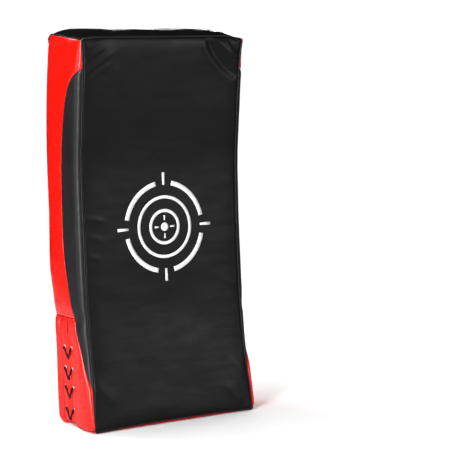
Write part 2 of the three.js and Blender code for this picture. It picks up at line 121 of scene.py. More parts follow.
def back_y(z):
    step = HIP["depth"] * smooth((HIP["high"] - z) / (HIP["high"] - HIP["low"]))
    return HALF_DEPTH - arc_drop(z - BACK_ARC["z"], BACK_ARC["radius"]) - step


def back_pad_y(z):
    above = arc_drop(z - BACK_PAD["arc_top"], BACK_PAD["arc_top_radius"])
    return BACK_PAD["y"] - above - arc_drop(BACK_PAD["arc_foot"] - z, BACK_PAD["arc_foot_radius"])


def foot_z(y):
    front = np.clip(1 - (y - front_y(0)) / FOOT_CURVE["front"], 0, 1)
    back = np.clip(1 - (back_y(0) - y) / FOOT_CURVE["back"], 0, 1)
    reach = LACE_CHANNEL["half_width"] + LACE_CHANNEL["ramp"]
    channel = smooth((reach - np.abs(y)) / LACE_CHANNEL["ramp"])
    return FACE_LOW * front**2 + FOOT_CURVE["back_lift"] * back**2 + LACE_CHANNEL["lift"] * channel


def roof_z(y):
    """Height of the side panels' top edge: a straight slope, then the crown's arc down to the back."""
    slope = PAD_HEIGHT - CROWN["slope"] * (CROWN["y"] - y)
    over = np.clip(y - CROWN["y"], 0, CROWN["radius"] - 0.5)
    arc = PAD_HEIGHT - CROWN["radius"] + np.sqrt(CROWN["radius"] ** 2 - over**2)
    return np.where(y < CROWN["y"], slope, arc)


def bezier(points, count=40):
    t = np.linspace(0, 1, count)[:, None]
    a, b, c, d = (np.array(p, float) for p in points)
    return a * (1 - t) ** 3 + 3 * b * t * (1 - t) ** 2 + 3 * c * t**2 * (1 - t) + d * t**3


CRESCENT = np.vstack([
    (-125, 40),
    bezier([(-94, 70), (-40, 175), (3, 340), (3, 450)]),
    bezier([(3, 450), (3, 585), (-50, 655), (-98, 678)])[1:],
    (-125, 694),
])


def front_edge(z):
    """Radius of the rounded front edges: fullest in the middle, tighter at the corners."""
    return 5 + 10 * smooth((z - 15) / 110) * smooth((752 - z) / 70)


def seam_x(z):
    return HALF_WIDTH - front_edge(z) * (1 - math.cos(FRONT_TURN))


def front_limit(z):
    """The front seam's place, on a scale of Y that runs on round the rounded edge."""
    return front_y(z) - front_edge(z) * (FRONT_TURN - 1)


def back_limit(z):
    return back_y(np.minimum(z, BACK_HIGH)) + BACK_EDGE * (BACK_TURN - 1)


def side_front(z):
    """Front edge of the red panels: the crescent's rear edge, or the front seam beyond its tips."""
    return np.maximum(np.interp(z, CRESCENT[:, 1], CRESCENT[:, 0]), front_limit(z))


def around(sign, y, z):
    """A place on a side of the shield, where y runs on round the front and back edges."""
    front, back = front_y(z) + 0.6, back_y(np.minimum(z, BACK_HIGH)) - 0.6

    def bend(distance, radius):
        angle = np.clip((radius - distance) / radius, 0, math.pi / 2)
        depth = np.maximum(distance - radius, 0) + radius * (1 - np.sin(angle))
        return radius * (1 - np.cos(angle)), depth
    front_inset, from_front = bend(y - front, front_edge(z))
    back_inset, from_back = bend(back - y, BACK_EDGE)
    place = np.where(y < (front + back) / 2, front + from_front, back - from_back)
    return sign * (HALF_WIDTH - front_inset - back_inset), place, z


def pillow(y, z):
    """How far the stuffed side stands out from its seams, in millimetres."""
    ends = rise(y - front_limit(z), 16) * rise(back_limit(z) - y, 13) * (0.25 + 0.75 * rise(z, 14))
    ends = ends * rise(roof_z(np.minimum(y, HALF_DEPTH)) - z, 14)
    fullest = 7.5 * (1 - 0.95 * smooth((z - 300) / 170) * smooth((y + 70) / 70))
    fullest = fullest * (1 - 0.75 * smooth((z - 660) / 60)) - 4 * hump(z - 140, 40)
    return fullest * ends * (1 - 0.5 * hump(z - FLAP_SEAM_Z, 15))


def face_low(x):
    """The strike face's lower edge dips to the floor at its corners."""
    return FACE_LOW - 2 - 3.5 * np.abs(x / HALF_WIDTH) ** 3


def slit_middle(z):
    return -1.5 + 3.5 * (z / FLAP_SEAM_Z) ** 1.5


def slit_half(z):
    return 0.9 + 1.8 * smooth((z - 125) / 70) - 1.2 * smooth((z - 190) / 20)


def sagged(points):
    """Lets the cover's top corners droop, the right one more, as they do on a used shield."""
    points = np.array(points, float)
    x, z = points[..., 0], points[..., 2]
    most = np.where(x > 0, CORNER_SAG["right"], CORNER_SAG["left"])
    near_end = smooth((np.abs(x) - HALF_WIDTH) / CORNER_SAG["reach"] + 1)
    near_top = smooth((z - PAD_HEIGHT) / CORNER_SAG["height"] + 1.15)
    points[..., 2] -= most * near_end * near_top
    return points


# ---- mesh helpers ----
def to_frame(points):
    """From local millimetres to the shared frame's metres, with the cover's sag."""
    return (sagged(points) + (0, SHIFT, 0)) * MM


def new_object(name, vertices, faces, weld=True):
    mesh = bpy.data.meshes.new(name)
    mesh.from_pydata([tuple(v) for v in vertices], [], [tuple(int(i) for i in f) for f in faces])
    if weld:
        work = bmesh.new()
        work.from_mesh(mesh)
        bmesh.ops.remove_doubles(work, verts=work.verts, dist=5e-6)
        bmesh.ops.dissolve_degenerate(work, edges=work.edges, dist=2e-6)
        bmesh.ops.recalc_face_normals(work, faces=work.faces)
        work.to_mesh(mesh)
        work.free()
    mesh.polygons.foreach_set("use_smooth", [True] * len(mesh.polygons))
    obj = bpy.data.objects.new(name, mesh)
    bpy.context.scene.collection.objects.link(obj)
    return obj


def dress(obj, look, body="root", replaces=(), subdivide=0):
    """Gives a piece its material, sets it riding on its body's empty and hides the CAD parts that it
    replaces.
    """
    slot, material = LOOKS[look]
    obj.data.materials.clear()
    obj.data.materials.append(material)
    if subdivide:
        modifier = obj.modifiers.new("subdivide", "SUBSURF")
        modifier.levels = modifier.render_levels = subdivide
    if body:
        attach(obj, body)
    if replaces:
        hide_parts(*replaces)
    return obj


def unit(vectors):
    return vectors / np.maximum(np.linalg.norm(vectors, axis=-1, keepdims=True), 1e-9)


def spots(x, y, z):
    """Points from their coordinates, any of which may be a single value."""
    return np.stack(np.broadcast_arrays(x, y, z), axis=-1).astype(float)


def grid(columns, rows, place):
    """Points of a panel's outer surface, as [row, column, xyz]; place takes u and v from 0 to 1."""
    return spots(*place(*np.meshgrid(np.linspace(0, 1, columns + 1), np.linspace(0, 1, rows + 1))))


def side_grid(sign, columns, rows, place):
    """Points of a side's panel, and their y and z on the side rolled out flat, which place gives."""
    x, y, z = np.moveaxis(grid(columns, rows, lambda u, v: (0, *place(u, v))), -1, 0)
    return spots(*around(sign, y, z)), y, z


def grid_normals(points, outward):
    normals = unit(np.cross(np.gradient(points, axis=1), np.gradient(points, axis=0)))
    return normals * (1 if np.sum(normals @ np.array(outward, float)) > 0 else -1)


def edge_distance(points):
    """Each point's distance in millimetres to its panel's nearest border, rounded off in the corners."""
    def one_way(axis):
        run = np.cumsum(np.linalg.norm(np.diff(points, axis=axis), axis=2), axis=axis)
        run = np.insert(run, 0, 0, axis=axis)
        return np.minimum(run, np.take(run, [-1], axis=axis) - run) + 1e-6
    return (one_way(1) ** -4 + one_way(0) ** -4) ** -0.25


def quads_of(rows, columns):
    index = np.arange(rows * columns).reshape(rows, columns)
    corners = (index[:-1, :-1], index[:-1, 1:], index[1:, 1:], index[1:, :-1])
    border = [*index[0], *index[1:, -1], *index[-1, -2::-1], *index[-2:0:-1, 0]]
    return np.stack(corners, -1).reshape(-1, 4), border


def shell(outer, inner):
    """Vertices and faces of the closed solid between two grids of points."""
    rows, columns = outer.shape[:2]
    quads, border = quads_of(rows, columns)
    count = rows * columns
    rim = [(a, b, b + count, a + count) for a, b in zip(border, border[1:] + border[:1])]
    vertices = np.vstack([to_frame(outer).reshape(-1, 3), to_frame(inner).reshape(-1, 3)])
    return vertices, [*quads, *(quads[:, ::-1] + count), *rim]


CLOTH = dict(
    vertex_group_mass="held", quality=5, mass=0.3, tension_stiffness=25, compression_stiffness=25,
    bending_stiffness=0.3, use_pressure=True, uniform_pressure_force=4,
)
CLOTH_FRAMES = 20
SMOOTHING = 10  # passes that even out a settled panel


def relaxed(points, normals, growth, inward=0.5, outward=1.5):
    """Lets a panel settle as cloth under pressure, its border held by the seams, with capped movement."""
    rows, columns = points.shape[:2]
    quads, border = quads_of(rows, columns)
    rest = to_frame(points).reshape(-1, 3)
    row, column = rows // 2, columns // 2
    middle = points[row, column]
    facing = np.cross(points[row, column + 1] - middle, points[row + 1, column] - middle)
    outside = facing @ normals[row, column] > 0
    trial = new_object("cloth_trial", rest, quads if outside else quads[:, ::-1], weld=False)
    trial.vertex_groups.new(name="held").add([int(i) for i in border], 1.0, "REPLACE")
    modifier = trial.modifiers.new("cloth", "CLOTH")
    for setting, value in {**CLOTH, "shrink_min": -growth}.items():
        setattr(modifier.settings, setting, value)
    modifier.settings.effector_weights.gravity = 0
    modifier.point_cache.frame_start = 1
    modifier.point_cache.frame_end = CLOTH_FRAMES
    scene = bpy.context.scene
    for number in range(1, CLOTH_FRAMES + 1):
        scene.frame_set(number)
    settled = trial.evaluated_get(bpy.context.evaluated_depsgraph_get())
    moved = np.zeros(len(rest) * 3)
    settled.data.vertices.foreach_get("co", moved)
    moved = (moved.reshape(-1, 3) - rest).reshape(points.shape) / MM
    bpy.data.objects.remove(trial)
    scene.frame_set(1)
    lift = np.sum(moved * normals, axis=2)
    cap = np.where(lift > 0, outward, inward)
    lift = np.nan_to_num(cap * np.tanh(lift / cap))
    for _ in range(SMOOTHING):
        beside = lift[:-2, 1:-1] + lift[2:, 1:-1] + lift[1:-1, :-2] + lift[1:-1, 2:]
        lift[1:-1, 1:-1] = lift[1:-1, 1:-1] / 2 + beside / 8
    return points + normals * lift[..., None]


def fold_lift(a, b, folds):
    """Height of folds at points (a, b): each has a start, a middle if it is curved, an end, height, width."""
    total = np.zeros(np.shape(a))
    t = np.linspace(0, 1, 60)[:, None]
    fade = smooth(np.minimum(t, 1 - t)[:, 0] / 0.3 + 0.2)
    for *places, height, width in folds:
        start, *middle, end = (np.array(place, float) for place in places)
        control = 2 * middle[0] - (start + end) / 2 if middle else (start + end) / 2
        line = start * (1 - t) ** 2 + 2 * control * t * (1 - t) + end * t**2
        gap = np.hypot(a[..., None] - line[:, 0], b[..., None] - line[:, 1])
        total += height * fade[gap.argmin(axis=-1)] * hump(gap.min(axis=-1), width)
    return total


def ripple(points, size, seed):
    """Even-handed noise over a panel, from -1 to 1; size is its wavelength along X, Y and Z."""
    flat = points.reshape(-1, 3) / np.array(size, float) + seed
    return np.array([noise.noise(p) for p in flat]).reshape(points.shape[:2])


def panel(name, points, outward, look, lift, puff, roll, sink=0.8, fade=2, lowest=None, bulge=0,
          growth=None, replaces=(), subdivide=0):
    """A sewn panel: pulled in along its seams, swollen between them, with its own folds on top."""
    normals = grid_normals(points, outward)
    edge = edge_distance(points)
    shaped = points + normals * (puff * rise(edge, roll) - sink + bulge)[..., None]
    if growth:
        shaped = relaxed(shaped, normals, growth)
    shaped = shaped + normals * (lift * rise(edge, fade))[..., None]
    if lowest:
        shaped[..., 2] = np.maximum(shaped[..., 2], lowest)
    obj = new_object(name, *shell(shaped, shaped - normals * SHEET))
    dress(obj, look, replaces=replaces, subdivide=subdivide)
    return shaped, normals


def sample(points, u, v):
    """A point of a grid, by u across its columns and v along its rows."""
    rows, columns = points.shape[:2]
    x, y = np.broadcast_arrays(np.clip(u, 0, 1) * (columns - 1), np.clip(v, 0, 1) * (rows - 1))
    i = np.minimum(x.astype(int), columns - 2)
    j = np.minimum(y.astype(int), rows - 2)
    s, t = (x - i)[..., None], (y - j)[..., None]
    low = points[j, i] * (1 - s) + points[j, i + 1] * s
    high = points[j + 1, i] * (1 - s) + points[j + 1, i + 1] * s
    return low * (1 - t) + high * t


def row_on(surface, u, v, above):
    """A line on a panel, at a height over it."""
    points, normals = surface
    return sample(points, u, v) + sample(normals, u, v) * above


def tangents(path, closed=False):
    if closed:
        return unit(np.roll(path, -1, axis=0) - np.roll(path, 1, axis=0))
    return unit(np.gradient(path, axis=0))


def frames_along(path, up, closed=False):
    """Unit tangent, side and outward vectors at each point of a path."""
    tangent = tangents(path, closed)
    side = unit(np.cross(np.broadcast_to(np.array(up, float), tangent.shape), tangent))
    return tangent, side, np.cross(tangent, side)


def frames_across(path, side):
    """The same for a path that bends in one plane, square to its side vector."""
    tangent = tangents(path)
    side = np.broadcast_to(np.array(side, float), tangent.shape)
    return tangent, side, np.cross(side, tangent)


def carried_frames(path):
    """The same for a path in space, with as little turning as there can be."""
    tangent = tangents(path)
    side = [unit(np.cross(tangent[0], (0, 1, 0.1)))]
    for t in tangent[1:]:
        side.append(unit(side[-1] - t * (side[-1] @ t)))
    return tangent, np.array(side), np.cross(tangent, side)


def tube_faces(steps, count, closed=False, capped=True):
    """Faces of a tube made of rings of vertices."""
    faces = []
    for i in range(steps if closed else steps - 1):
        a, b = i * count, ((i + 1) % steps) * count
        faces += [(a + k, a + (k + 1) % count, b + (k + 1) % count, b + k) for k in range(count)]
    if capped and not closed:
        faces += [tuple(range(count))[::-1], tuple(range((steps - 1) * count, steps * count))]
    return faces


def sweep(name, path, frames, section, look, body="root", replaces=(), subdivide=0, closed=False):
    """A piece whose section, given as (side, outward) offsets, is laid along a path."""
    _, side, outward = frames
    rings = path[:, None] + side[:, None] * section[..., :1] + outward[:, None] * section[..., 1:]
    faces = tube_faces(len(path), section.shape[-2], closed)
    obj = new_object(name, to_frame(rings.reshape(-1, 3)), faces)
    return dress(obj, look, body, replaces, subdivide)


def turns(count):
    return np.linspace(0, 2 * math.pi, count, endpoint=False)


def ring_section(radius, sides):
    return radius * np.stack([np.cos(turns(sides)), np.sin(turns(sides))], axis=-1)


def wavering(section, path, size, amount):
    """A section that grows and shrinks a little along its path."""
    growth = np.array([1 + amount * noise.noise(Vector(p) / size) for p in path])
    return section * growth[:, None, None]


def band_section(width, thickness):
    """A flat webbing's section, with softly rounded edges; its width may change along the path."""
    t = thickness / 2
    c = min(0.6, t)
    places = [(1, -t + c, 0), (1, t - c, 0), (1, t, c), (0, t, 0), (-1, t, -c), (-1, t - c, 0),
              (-1, -t + c, 0), (-1, -t, -c), (0, -t, 0), (1, -t, c)]
    part, out, inset = np.array(places).T
    across = np.atleast_1d(width)[:, None] / 2 * part - inset
    return np.stack([across, np.broadcast_to(out, across.shape)], axis=-1)


def run_along(path):
    """Distance from a path's start to each of its points."""
    return np.concatenate([[0], np.cumsum(np.linalg.norm(np.diff(path, axis=0), axis=-1))])


def resampled(path, pitch):
    run = run_along(path)
    places = np.arange(pitch / 2, run[-1], pitch)
    return np.stack([np.interp(places, run, path[:, k]) for k in range(3)], axis=-1)


def stitches(name, rows, look, body="root", pitch=4.2, length=2.9, radius=0.42):
    """Rows of short raised stitches, each row given as its path and its outward direction."""
    along = np.array([-0.5, -0.3, 0, 0.3, 0.5])[:, None] * length
    swell = np.array([0.25, 0.8, 1, 0.8, 0.25])[:, None] * radius
    sag = 0.35 * radius * (2 * along / length) ** 2
    sides = 6
    around_it = turns(sides)
    stitch = spots(along, swell * np.cos(around_it), swell * np.sin(around_it) - sag)
    vertices = []
    for path, outward in rows:
        places = resampled(path, pitch)
        basis = np.stack(frames_along(places, outward), axis=1)
        vertices.append((places[:, None, None] + np.einsum("abk,nkc->nabc", stitch, basis)).reshape(-1, 3))
    vertices = np.vstack(vertices)
    one = np.array(tube_faces(*stitch.shape[:2], capped=False))
    size = len(along) * sides
    ends = np.array([range(sides - 1, -1, -1), range(size - sides, size)])
    bases = np.arange(0, len(vertices), size)[:, None, None]
    faces = [*(one + bases).reshape(-1, 4), *(ends + bases).reshape(-1, sides)]
    return dress(new_object(name, to_frame(vertices), faces), look, body)


# ---- materials ----
def feed(tree, node, inputs):
    """Links a node's inputs to other nodes' outputs, or sets them to numbers, colours or vectors."""
    for key, value in inputs.items():
        socket = node.inputs[key]
        if isinstance(value, bpy.types.NodeSocket):
            tree.links.new(value, socket)
        else:
            socket.default_value = (*value, 1) if socket.type == "RGBA" else value


def add_node(tree, kind, output, inputs=None, **settings):
    """Adds a shader node, gives it its settings and inputs, and returns one of its outputs."""
    node = tree.nodes.new(f"ShaderNode{kind}")
    for setting, value in settings.items():
        setattr(node, setting, value)
    feed(tree, node, inputs or {})
    return node.outputs[output]


def new_material(name):
    material = bpy.data.materials.new(name)
    material.use_nodes = True
    tree = material.node_tree
    tree.nodes.clear()
    output = tree.nodes.new("ShaderNodeOutputMaterial")
    shader = tree.nodes.new("ShaderNodeBsdfPrincipled")
    feed(tree, output, {"Surface": shader.outputs["BSDF"]})
    return material, tree, shader


def place_node(tree, stretch=(1, 1, 1)):
    """Object coordinates in metres, stretched along each axis."""
    return add_node(tree, "Mapping", "Vector", {
        "Vector": add_node(tree, "TexCoord", "Object"), "Scale": stretch,
    })


def noise_node(tree, scale, stretch=(1, 1, 1), detail=3.0, roughness=0.5):
    return add_node(tree, "TexNoise", "Fac", {
        "Vector": place_node(tree, stretch), "Scale": scale, "Detail": detail, "Roughness": roughness,
    })


def cells_node(tree, scale):
    inputs = {"Vector": place_node(tree), "Scale": scale}
    return add_node(tree, "TexVoronoi", "Distance", inputs, feature="SMOOTH_F1")


def wave_node(tree, scale, direction, distortion):
    inputs = {"Vector": place_node(tree), "Scale": scale, "Distortion": distortion}
    return add_node(tree, "TexWave", "Fac", inputs, bands_direction=direction)


def map_node(tree, value, low, high, from_low=0.3, from_high=0.7):
    return add_node(tree, "MapRange", "Result", {
        "Value": value, "From Min": from_low, "From Max": from_high, "To Min": low, "To Max": high,
    })


def multiply_node(tree, a, b):
    return add_node(tree, "Math", "Value", {0: a, 1: b}, operation="MULTIPLY")


def mix_node(tree, factor, a, b):
    return add_node(tree, "Mix", 2, {"Factor": factor, 6: a, 7: b}, data_type="RGBA")


def bump_node(tree, height, distance, strength, under=None):
    inputs = {"Height": height, "Distance": distance, "Strength": strength}
    return add_node(tree, "Bump", "Normal", inputs if under is None else {**inputs, "Normal": under})


def scaled(colour, factor):
    return tuple(min(1.0, c * factor) for c in colour)


def vinyl(name, colour, roughness, level, crease=45, crease_depth=0.0012, stretch=(1, 1, 1), coat=0,
          worn=1.6):
    """Coated sheet: a fine pebbled grain, soft creases, uneven gloss and paler worn edges."""
    material, tree, shader = new_material(name)
    mottle = noise_node(tree, 9, detail=4)
    base = mix_node(tree, map_node(tree, mottle, 0, 1), scaled(colour, 0.82), scaled(colour, 1.15))
    sharp_edges = map_node(tree, add_node(tree, "NewGeometry", "Pointiness"), 0, 1, 0.52, 0.62)
    rubbed = multiply_node(tree, sharp_edges, noise_node(tree, 120, detail=5))
    smears = noise_node(tree, 22, detail=5, roughness=0.6)
    creases = bump_node(tree, noise_node(tree, crease, stretch, detail=2), crease_depth, 0.5)
    feed(tree, shader, {
        "Base Color": mix_node(tree, rubbed, base, scaled(colour, worn)),
        "Roughness": map_node(tree, smears, roughness - 0.06, roughness + 0.07),
        "Normal": bump_node(tree, cells_node(tree, 750), 0.00012, 0.6, creases),
        "Specular IOR Level": level, "Coat Weight": coat, "Coat Roughness": 0.12,
    })
    return material


def woven(name, colour, scale, roughness=0.85, depth=0.0003):
    """Webbing or twisted cord: two crossing sets of ribs, with painted shade darkening the gaps between them
    and painted light on their raised tops.
    """
    material, tree, shader = new_material(name)
    ribs = multiply_node(tree, wave_node(tree, scale, "DIAGONAL", 0.6), wave_node(tree, scale, "Z", 0.4))
    fuzz = noise_node(tree, 900, detail=4)
    # painted light and shade: the colour is lighter on the ribs' raised tops and darker in the gaps between
    # them, following the ribs' bump
    base = mix_node(tree, ribs, scaled(colour, 0.5), scaled(colour, 1.7))
    dull = map_node(tree, noise_node(tree, 30), 0, 0.5)
    feed(tree, shader, {
        "Base Color": mix_node(tree, dull, base, scaled(colour, 0.7)),
        "Roughness": map_node(tree, fuzz, roughness - 0.1, min(1, roughness + 0.1)),
        "Normal": bump_node(tree, fuzz, 0.0001, 0.5, bump_node(tree, ribs, depth, 0.8)),
        "Specular IOR Level": 0.3,
    })
    return material


def matte(name, colour, scale, depth, roughness=0.9):
    """Foam, hook and loop, and the palm pad's knobbly cloth: small cells or tufts."""
    material, tree, shader = new_material(name)
    cells = cells_node(tree, scale)
    dust = noise_node(tree, 14, detail=4)
    base = mix_node(tree, map_node(tree, cells, 0, 1, 0.1, 0.6), scaled(colour, 1.3), scaled(colour, 0.6))
    feed(tree, shader, {
        "Base Color": mix_node(tree, map_node(tree, dust, 0, 0.5), base, scaled(colour, 1.5)),
        "Roughness": map_node(tree, dust, roughness - 0.08, min(1, roughness + 0.06)),
        "Normal": bump_node(tree, cells, depth, 0.8),
        "Specular IOR Level": 0.3,
    })
    return material


def metal(name, colour, roughness):
    """Plated metal with faint polishing marks and duller spots."""
    material, tree, shader = new_material(name)
    dull = noise_node(tree, 160, detail=4)
    feed(tree, shader, {
        "Base Color": mix_node(tree, map_node(tree, dull, 0, 1), scaled(colour, 0.8), colour),
        "Roughness": map_node(tree, dull, roughness, roughness + 0.15),
        "Normal": bump_node(tree, noise_node(tree, 500, (1, 1, 6), detail=2), 0.00005, 0.4),
        "Metallic": 1,
    })
    return material


def printed(name, colour):
    """Ink or plastic: nearly even, with a faint grain and duller patches."""
    material, tree, shader = new_material(name)
    thin = noise_node(tree, 260, detail=5)
    feed(tree, shader, {
        "Base Color": mix_node(tree, map_node(tree, thin, 0, 1, 0.25, 0.5), scaled(colour, 0.86), colour),
        "Roughness": map_node(tree, thin, 0.4, 0.55),
        "Normal": bump_node(tree, cells_node(tree, 750), 0.00008, 0.5),
    })
    return material


LOOKS = {
    "face": ("black_vinyl", vinyl("strike_vinyl", (0.0055, 0.0055, 0.0058), 0.37, 0.27, crease=22,
                                  crease_depth=0.0007, stretch=(1, 1, 2.5))),
    "black": ("black_vinyl", vinyl("black_vinyl", (0.006, 0.006, 0.0065), 0.36, 0.4)),
    "gloss": ("gloss_vinyl", vinyl("gloss_vinyl", (0.003, 0.003, 0.0035), 0.18, 0.4, crease=30)),
    "red": ("red_vinyl", vinyl("red_vinyl", (0.84, 0.007, 0.003), 0.27, 0.5, crease=24, crease_depth=0.001,
                               coat=0.4, worn=1.1)),
    "inset": ("inset_vinyl", vinyl("inset_vinyl", (0.013, 0.013, 0.014), 0.36, 0.4, crease=30)),
    "back": ("back_leather", vinyl("back_leather", (0.009, 0.0085, 0.008), 0.34, 0.45, crease=35)),
    "grip": ("grip_leather", vinyl("grip_leather", (0.007, 0.007, 0.007), 0.3, 0.5, crease=60, coat=0.2)),
    "palm": ("palm_pad", matte("palm_pad", (0.006, 0.006, 0.006), 900, 0.0004)),
    "foam": ("foam", matte("closed_cell_foam", (0.3, 0.3, 0.28), 1200, 0.0003)),
    "webbing": ("webbing", woven("webbing", (0.008, 0.008, 0.008), 160)),
    "loops": ("hook_and_loop", matte("hook_and_loop", (0.012, 0.012, 0.012), 1500, 0.0006, 1.0)),
    "cord": ("cord", woven("lace_cord", (0.004, 0.004, 0.004), 220, 0.75)),
    "light_thread": ("thread_light", woven("light_thread", (0.5, 0.42, 0.38), 500, 0.7, 0.0001)),
    "dark_thread": ("thread_dark", woven("dark_thread", (0.006, 0.003, 0.003), 500, 0.8, 0.0001)),
    "print": ("white_print", printed("white_print", (0.88, 0.88, 0.88))),
    "nickel": ("nickel", metal("nickel", (0.83, 0.82, 0.8), 0.22)),
    "plastic": ("black_plastic", printed("black_plastic", (0.012, 0.012, 0.013))),
}


# ---- the cover's panels ----
def build_strike_face():
    """Black front panel, with tension folds that cut across its top corners."""
    def place(u, v):
        x = (2 * u - 1) * (seam_x(FACE_LOW + v * (FACE_HIGH - FACE_LOW)) - PIPING)
        low = face_low(x) + 0.5
        z = low + v * (FACE_HIGH - low)
        return x, front_y(z) + 0.8, z

    points = grid(96, 186, place)
    folds = [
        ((95, 734), (119, 689), (170, 655), -3.4, 8), ((112, 733), (137, 707), (171, 682), 3.6, 8),
        ((130, 730), (150, 709), (172, 698), 1.7, 3.6), ((149, 731), (158, 719), (173, 711), 1.4, 3.2),
        ((140, 709), (153, 702), (171, 692), 1.2, 3.6), ((84, 734), (96, 700), (128, 668), 0.9, 8),
        ((-172, 684), (-154, 698), (-120, 719), 1.9, 4.5), ((-170, 664), (-136, 688), (-104, 708), 1.6, 5),
        ((-172, 648), (-140, 668), (-106, 690), 0.9, 7), ((-155, 715), (-143, 722), (-130, 729), 1.4, 4),
        ((-172, 704), (-162, 714), (-155, 727), 1.3, 3.5), ((150, 16), (134, 36), (112, 60), 1.2, 9),
        ((168, 70), (150, 90), (130, 110), 0.9, 10), ((-166, 96), (-146, 72), (-126, 48), 1.0, 10),
        ((-172, 400), (-150, 398), (-120, 392), 0.9, 5), ((-172, 368), (-150, 364), (-128, 356), 0.9, 5),
        ((-172, 332), (-155, 328), (-136, 322), 0.8, 5), ((172, 250), (150, 254), (130, 262), 0.7, 7),
    ]
    lift = fold_lift(points[..., 0], points[..., 2], folds) + 0.16 * ripple(points, (60, 60, 14), 3.1)
    lift += 0.9 * ripple(points, (110, 110, 80), 8.7) + 0.4 * ripple(points, (40, 40, 34), 5.5)
    return panel("strike_face_panel", points, (0, -1, 0), "face", lift, puff=1.2, roll=3.5, growth=0.004,
                 replaces=["strike_face"], subdivide=1)


def build_gusset(hand, sign):
    """Red upper part of a side, from the lacing flaps' seam to the roof."""
    low = FLAP_SEAM_Z + 1

    def place(u, v):
        z = low + v * (BACK_HIGH - FLAP_SEAM_Z)
        y = side_front(z) + u * (back_limit(z) - side_front(z))
        top = roof_z(np.clip(y, front_y(FACE_HIGH), back_y(BACK_HIGH))) - 1.5
        z = low + v * (top - low)
        return side_front(z) + u * (back_limit(z) - side_front(z)), z

    points, y, z = side_grid(sign, 34, 112, place)
    folds = [
        ((58, 600), (36, 572), 1.3, 4), ((62, 575), (44, 552), 1.0, 3.5), ((63, 500), (40, 470), 1.4, 4),
        ((66, 478), (46, 448), 1.1, 3.5), ((66, 455), (50, 430), 0.9, 3.5), ((30, 735), (-40, 712), 0.9, 8),
        ((-92, 728), (-60, 700), 0.8, 6), ((10, 216), (30, 240), 0.6, 8), ((0, 330), (45, 400), 0.6, 12),
        ((64, 713), (-12, 724), (-90, 728), 2.4, 4),
    ]
    lift = fold_lift(points[..., 1], z, folds) + 0.8 * ripple(points, (40, 40, 55), 5.0 + sign)
    lift += 0.25 * ripple(points, (14, 14, 22), 2.0 + sign)
    return panel(f"red_gusset_{hand}", points, (sign, 0, 0), "red", lift, puff=1.2, roll=2.5, sink=1.2,
                 bulge=pillow(y, z), growth=0.01, replaces=[f"side_gusset_{hand}"], subdivide=1)


def build_crescent(hand, sign):
    """Dark inset along the front of a side, between the front seam and the red panels."""
    heights = np.linspace(45, 690, 646)
    open_heights = heights[side_front(heights) > front_limit(heights) + 0.6]
    low, high = open_heights[0], open_heights[-1]

    def place(u, v):
        z = low + v * (high - low)
        return front_limit(z) + u * (side_front(z) - 0.3 - front_limit(z)), z

    points, y, z = side_grid(sign, 22, 110, place)
    lift = 0.6 * ripple(points, (40, 40, 60), 11.0 + sign) + 0.2 * ripple(points, (14, 14, 16), 4.0)
    return panel(f"crescent_{hand}", points, (sign, 0, 0), "inset", lift, puff=1.0, roll=2.5, sink=1.0,
                 bulge=pillow(y, z), replaces=[f"crescent_inset_{hand}"], subdivide=1)


def flap_span(z, towards):
    """Where a laced flap begins at the slit, and its outer border."""
    return slit_middle(z) + towards * slit_half(z), side_front(z) if towards < 0 else back_limit(z)


def build_flap(hand, sign, row, towards):
    """One laced flap: a hem and stitch lines along the slit, and a pleat outside them."""
    def place(u, v):
        slit, border = flap_span(2 + v * (FLAP_SEAM_Z - 3), towards)
        y = slit + u * (border - slit)
        low = foot_z(y) + 1.2
        return y, low + v * (FLAP_SEAM_Z - 0.8 - low)

    points, y, z = side_grid(sign, 68 if towards < 0 else 50, 66, place)
    from_slit = np.abs(points[..., 1] - slit_middle(z))
    hem = hump(from_slit - 5, 3.4, 4) - 0.9 * hump(from_slit - 9.2, 1) - 1.3 * hump(from_slit - PLEAT, 1.3)
    pleat = 2.2 * smooth((from_slit - PLEAT - 0.8) / 1.6) - 2.4 * hump(from_slit - PLEAT - 9, 1.3)
    lift = (hem + pleat) * smooth(z / 14) + 0.4 * ripple(points, (30, 30, 40), 7.0 + sign)
    lift += 0.3 * ripple(points, (9, 9, 30), 1.0 + sign) * (from_slit < 10)
    drawn = 0.9 * hump(np.maximum(np.abs(y) - 18, 0), 22)  # the lacing draws the flap flat
    return panel(f"laced_flap_{row}_{hand}", points, (sign, 0, 0), "red", lift, puff=1.0, roll=2.5,
                 bulge=pillow(y, z) * (1 - drawn) + drawn, replaces=[f"lace_flap_{row}_{hand}"])


def build_roof():
    """Glossy panel over the top, from the front seam over the crown to the back seam."""
    start = (front_y(FACE_HIGH) + 3.2, FACE_HIGH + 2.2)
    slope = [(y, roof_z(y)) for y in np.linspace(start[0] + 3, CROWN["y"], 12)]
    angles = np.radians(np.linspace(80, CROWN["end_angle"] - 8, 7))
    reach = CROWN["radius"] * np.stack([np.cos(angles), np.sin(angles)], axis=-1)
    line = np.vstack([start, slope, reach + (CROWN["y"], PAD_HEIGHT - CROWN["radius"])])
    run = run_along(line)

    def place(u, v):
        y, z = (np.interp(v * run[-1], run, line[:, k]) for k in (0, 1))
        return (2 * u - 1) * (HALF_WIDTH - 0.8), y, z - 0.6

    points = grid(70, 30, place)
    folds = [
        ((-172, 30), (-120, 16), 1.6, 5), ((-170, -20), (-135, 8), 1.1, 6), ((172, 28), (128, 12), 1.5, 5),
        ((170, -60), (120, -84), 1.2, 6), ((168, -30), (130, -50), 1.0, 6),
        ((-150, -95), (-110, -70), 0.8, 6),
    ]
    lift = fold_lift(points[..., 0], points[..., 1], folds) + 0.7 * ripple(points, (60, 40, 40), 9.3)
    panel("top_panel", points, (0, 0, 1), "gloss", lift, puff=9.5, roll=22, sink=1.0, growth=0.01,
          replaces=["top_gusset"], subdivide=1)


